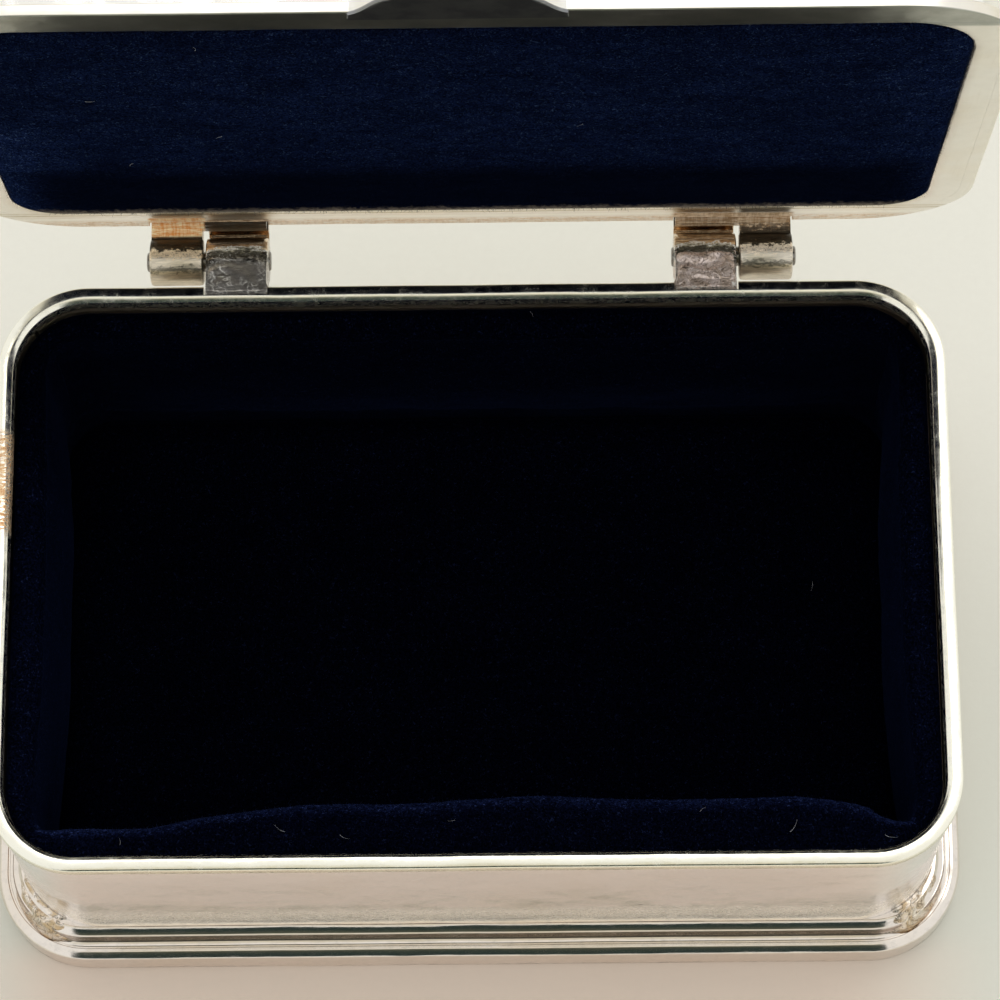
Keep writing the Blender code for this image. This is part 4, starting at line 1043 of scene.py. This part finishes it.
def make_lint(linings, floor, lid):
    """Single pale hairs lying on the velvet where the photograph shows them."""
    surfaces = []
    for made in (*linings.values(), floor, lid):
        points, faces = [v.co for v in made.data.vertices], [p.vertices for p in made.data.polygons]
        surfaces.append((made, BVHTree.FromPolygons(points, faces)))
    built = {"base": bmesh.new(), "lid": bmesh.new()}
    camera = camera_frame()
    for x, y, length, strength in LINT:
        ray = (camera.to_3x3() @ sight(x, y)).normalized()
        hits = [(*tree.ray_cast(camera.translation, ray), made) for made, tree in surfaces]
        hits = [hit for hit in hits if hit[0]]
        if not hits:
            continue
        place, normal, _, _, made = min(hits, key=lambda hit: hit[3])
        normal = normal if normal.dot(ray) < 0 else -normal
        way = normal.cross(random_way()).normalized()
        bend = 0.5 * normal.cross(way) * random.choice((-1, 1))
        hairs = built["lid" if made is lid else "base"]
        flat = (way + 0.05 * normal).normalized()
        fibre(hairs, place / MM + 0.06 * normal, flat, bend, length, LINT_RADIUS * strength, 8)
    for body, hairs in built.items():
        piece(finished(hairs, f"{body}_lint"), body, "navy_velvet", LINT_THREAD)


def make_rest():
    """The materials of the solids that are seen as they are."""
    for name in ("base_plate", "floor_board", "lid_board", "front_card", "back_card", "left_card", "right_card"):
        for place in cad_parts[name].material_slots:
            place.material = SILVER_WALL if name == "base_plate" else CARD


# Stage, lights and camera


def stage_plane(name, material, corners):
    mesh = bpy.data.meshes.new(name)
    mesh.from_pydata(corners, [], [(0, 1, 2, 3)])
    mesh.materials.append(material)
    made = placed(name, mesh)
    return made


def table_material():
    """Pale, painted darker at the sides and front, with a painted pinkish shadow and a cream pool of light in front."""
    g = Graph("table")
    grain = g.noise(1.3, 5.0, 0.7)
    # Painted shade: darker towards the front and towards the sides.
    from_middle, behind = abs(g.x), g.range(g.y, -20, 32)
    middle = g.mix(behind, (0.70, 0.69, 0.615), (0.80, 0.795, 0.725))
    sides = g.mix(behind, (0.655, 0.665, 0.60), (0.77, 0.76, 0.695))
    colour = g.mix(g.range(from_middle, 30, 56, 0.0, 0.8), middle, sides)
    # Painted shadow: a pinkish patch on the table in front of the box.
    drift = g.x + g.noise(0.02, 2.0, 0.5) * 8.0
    painted_shadow = g.inside(drift, -50, -36, 38, 58) * g.inside(g.y, -47, -41, -31, -26.5)
    colour = g.mix(painted_shadow, colour, (0.76, 0.645, 0.555))
    # Painted light: a cream pool on the table in front of the box.
    painted_light_pool = g.inside(g.y, -110, -58, -46, -41.5) * g.range(from_middle, 95, 48)
    colour = g.mix(painted_light_pool, colour, (0.98, 0.93, 0.80))
    colour = g.mix(g.range(grain, 0.3, 0.7, 0.0, 0.04), colour, (0.50, 0.46, 0.40))
    return g.set(Base_Color=colour, Roughness=0.85, Specular_IOR_Level=0.05, Normal=g.bump(grain, 0.12, 0.08))


def make_flags():
    """Two dark panels that only reflections see, in front of the box and above it."""
    flag = Graph("flag")
    tone = flag.mix(flag.range(flag.z, 120, 420), (0.013, 0.030, 0.028), (0.060, 0.070, 0.050))
    tone = flag.mix(flag.range(flag.z, 560, 712), tone, (0.80, 0.77, 0.68))
    flag.set(Base_Color=tone, Roughness=0.9)
    for name, near, far in (
        ("flag_front", (-0.42, 0.035), (-0.42, 0.60)),
        ("flag_over", (-0.42, 0.60), (-0.13, 0.80)),
    ):
        dark = stage_plane(name, flag.material, [(-0.17, *near), (0.17, *near), (0.17, *far), (-0.17, *far)])
        dark.visible_camera = dark.visible_diffuse = dark.visible_shadow = False


def make_stage():
    stage_plane("table", table_material(), [(-1.6, -1.6, 0), (1.6, -1.6, 0), (1.6, 1.6, 0), (-1.6, 1.6, 0)])
    make_flags()
    world = bpy.data.worlds.new("studio")
    bpy.context.scene.world = world
    world.use_nodes = True
    back = world.node_tree.nodes["Background"]
    back.inputs[0].default_value = (1.0, 0.995, 0.965, 1)
    back.inputs[1].default_value = 0.93
    lamp = bpy.data.lights.new("softbox", "AREA")
    lamp.shape, lamp.size, lamp.size_y = "RECTANGLE", 0.7, 0.5
    lamp.energy = 2.2
    lamp.color = (1.0, 0.985, 0.95)
    holder = placed("softbox", lamp)
    holder.location = (0.15, 0.45, 0.95)
    aim = Vector((0, 0, 0.02)) - Vector(holder.location)
    holder.rotation_euler = aim.to_track_quat("-Z", "Y").to_euler()


def sight(x, y):
    """The way from the camera to a pixel, in the camera's frame."""
    return Vector(((x - PICTURE_HALF) / FOCAL, (PICTURE_HALF - y) / FOCAL, -1))


def camera_frame():
    """Across, up and back of the camera, and its place in metres."""
    back = Vector((math.sin(PAN) * math.cos(TILT), -math.cos(PAN) * math.cos(TILT), math.sin(TILT)))
    right = Vector((math.cos(PAN), math.sin(PAN), 0))
    up = back.cross(right)
    across = math.cos(ROLL) * right + math.sin(ROLL) * up
    upward = -math.sin(ROLL) * right + math.cos(ROLL) * up
    turned = Matrix((across, upward, back)).transposed()
    return Matrix.Translation(turned @ sight(*ORIGIN_PIXEL) * -DISTANCE) @ turned.to_4x4()


def make_camera():
    data = bpy.data.cameras.new("camera")
    data.sensor_width = 36
    data.lens = FOCAL / (2 * PICTURE_HALF) * data.sensor_width
    data.clip_start, data.clip_end = 0.01, 20
    camera = placed("camera", data)
    camera.matrix_world = camera_frame()
    bpy.context.scene.camera = camera


make_wall()
make_rim()
make_foot()
make_corner_solder()
make_lid_bead()
make_lid_frame()
make_lid_shell()
make_small_metal()
make_knuckle_solder()
make_thumbpiece()
linings, floor_pad, lid_pad = make_velvet()
make_fuzz(linings, lid_pad)
make_lint(linings, floor_pad, lid_pad)
make_rest()
make_stage()
make_camera()

bpy.context.scene.view_settings.view_transform = "Standard"
bpy.context.view_layer.update()
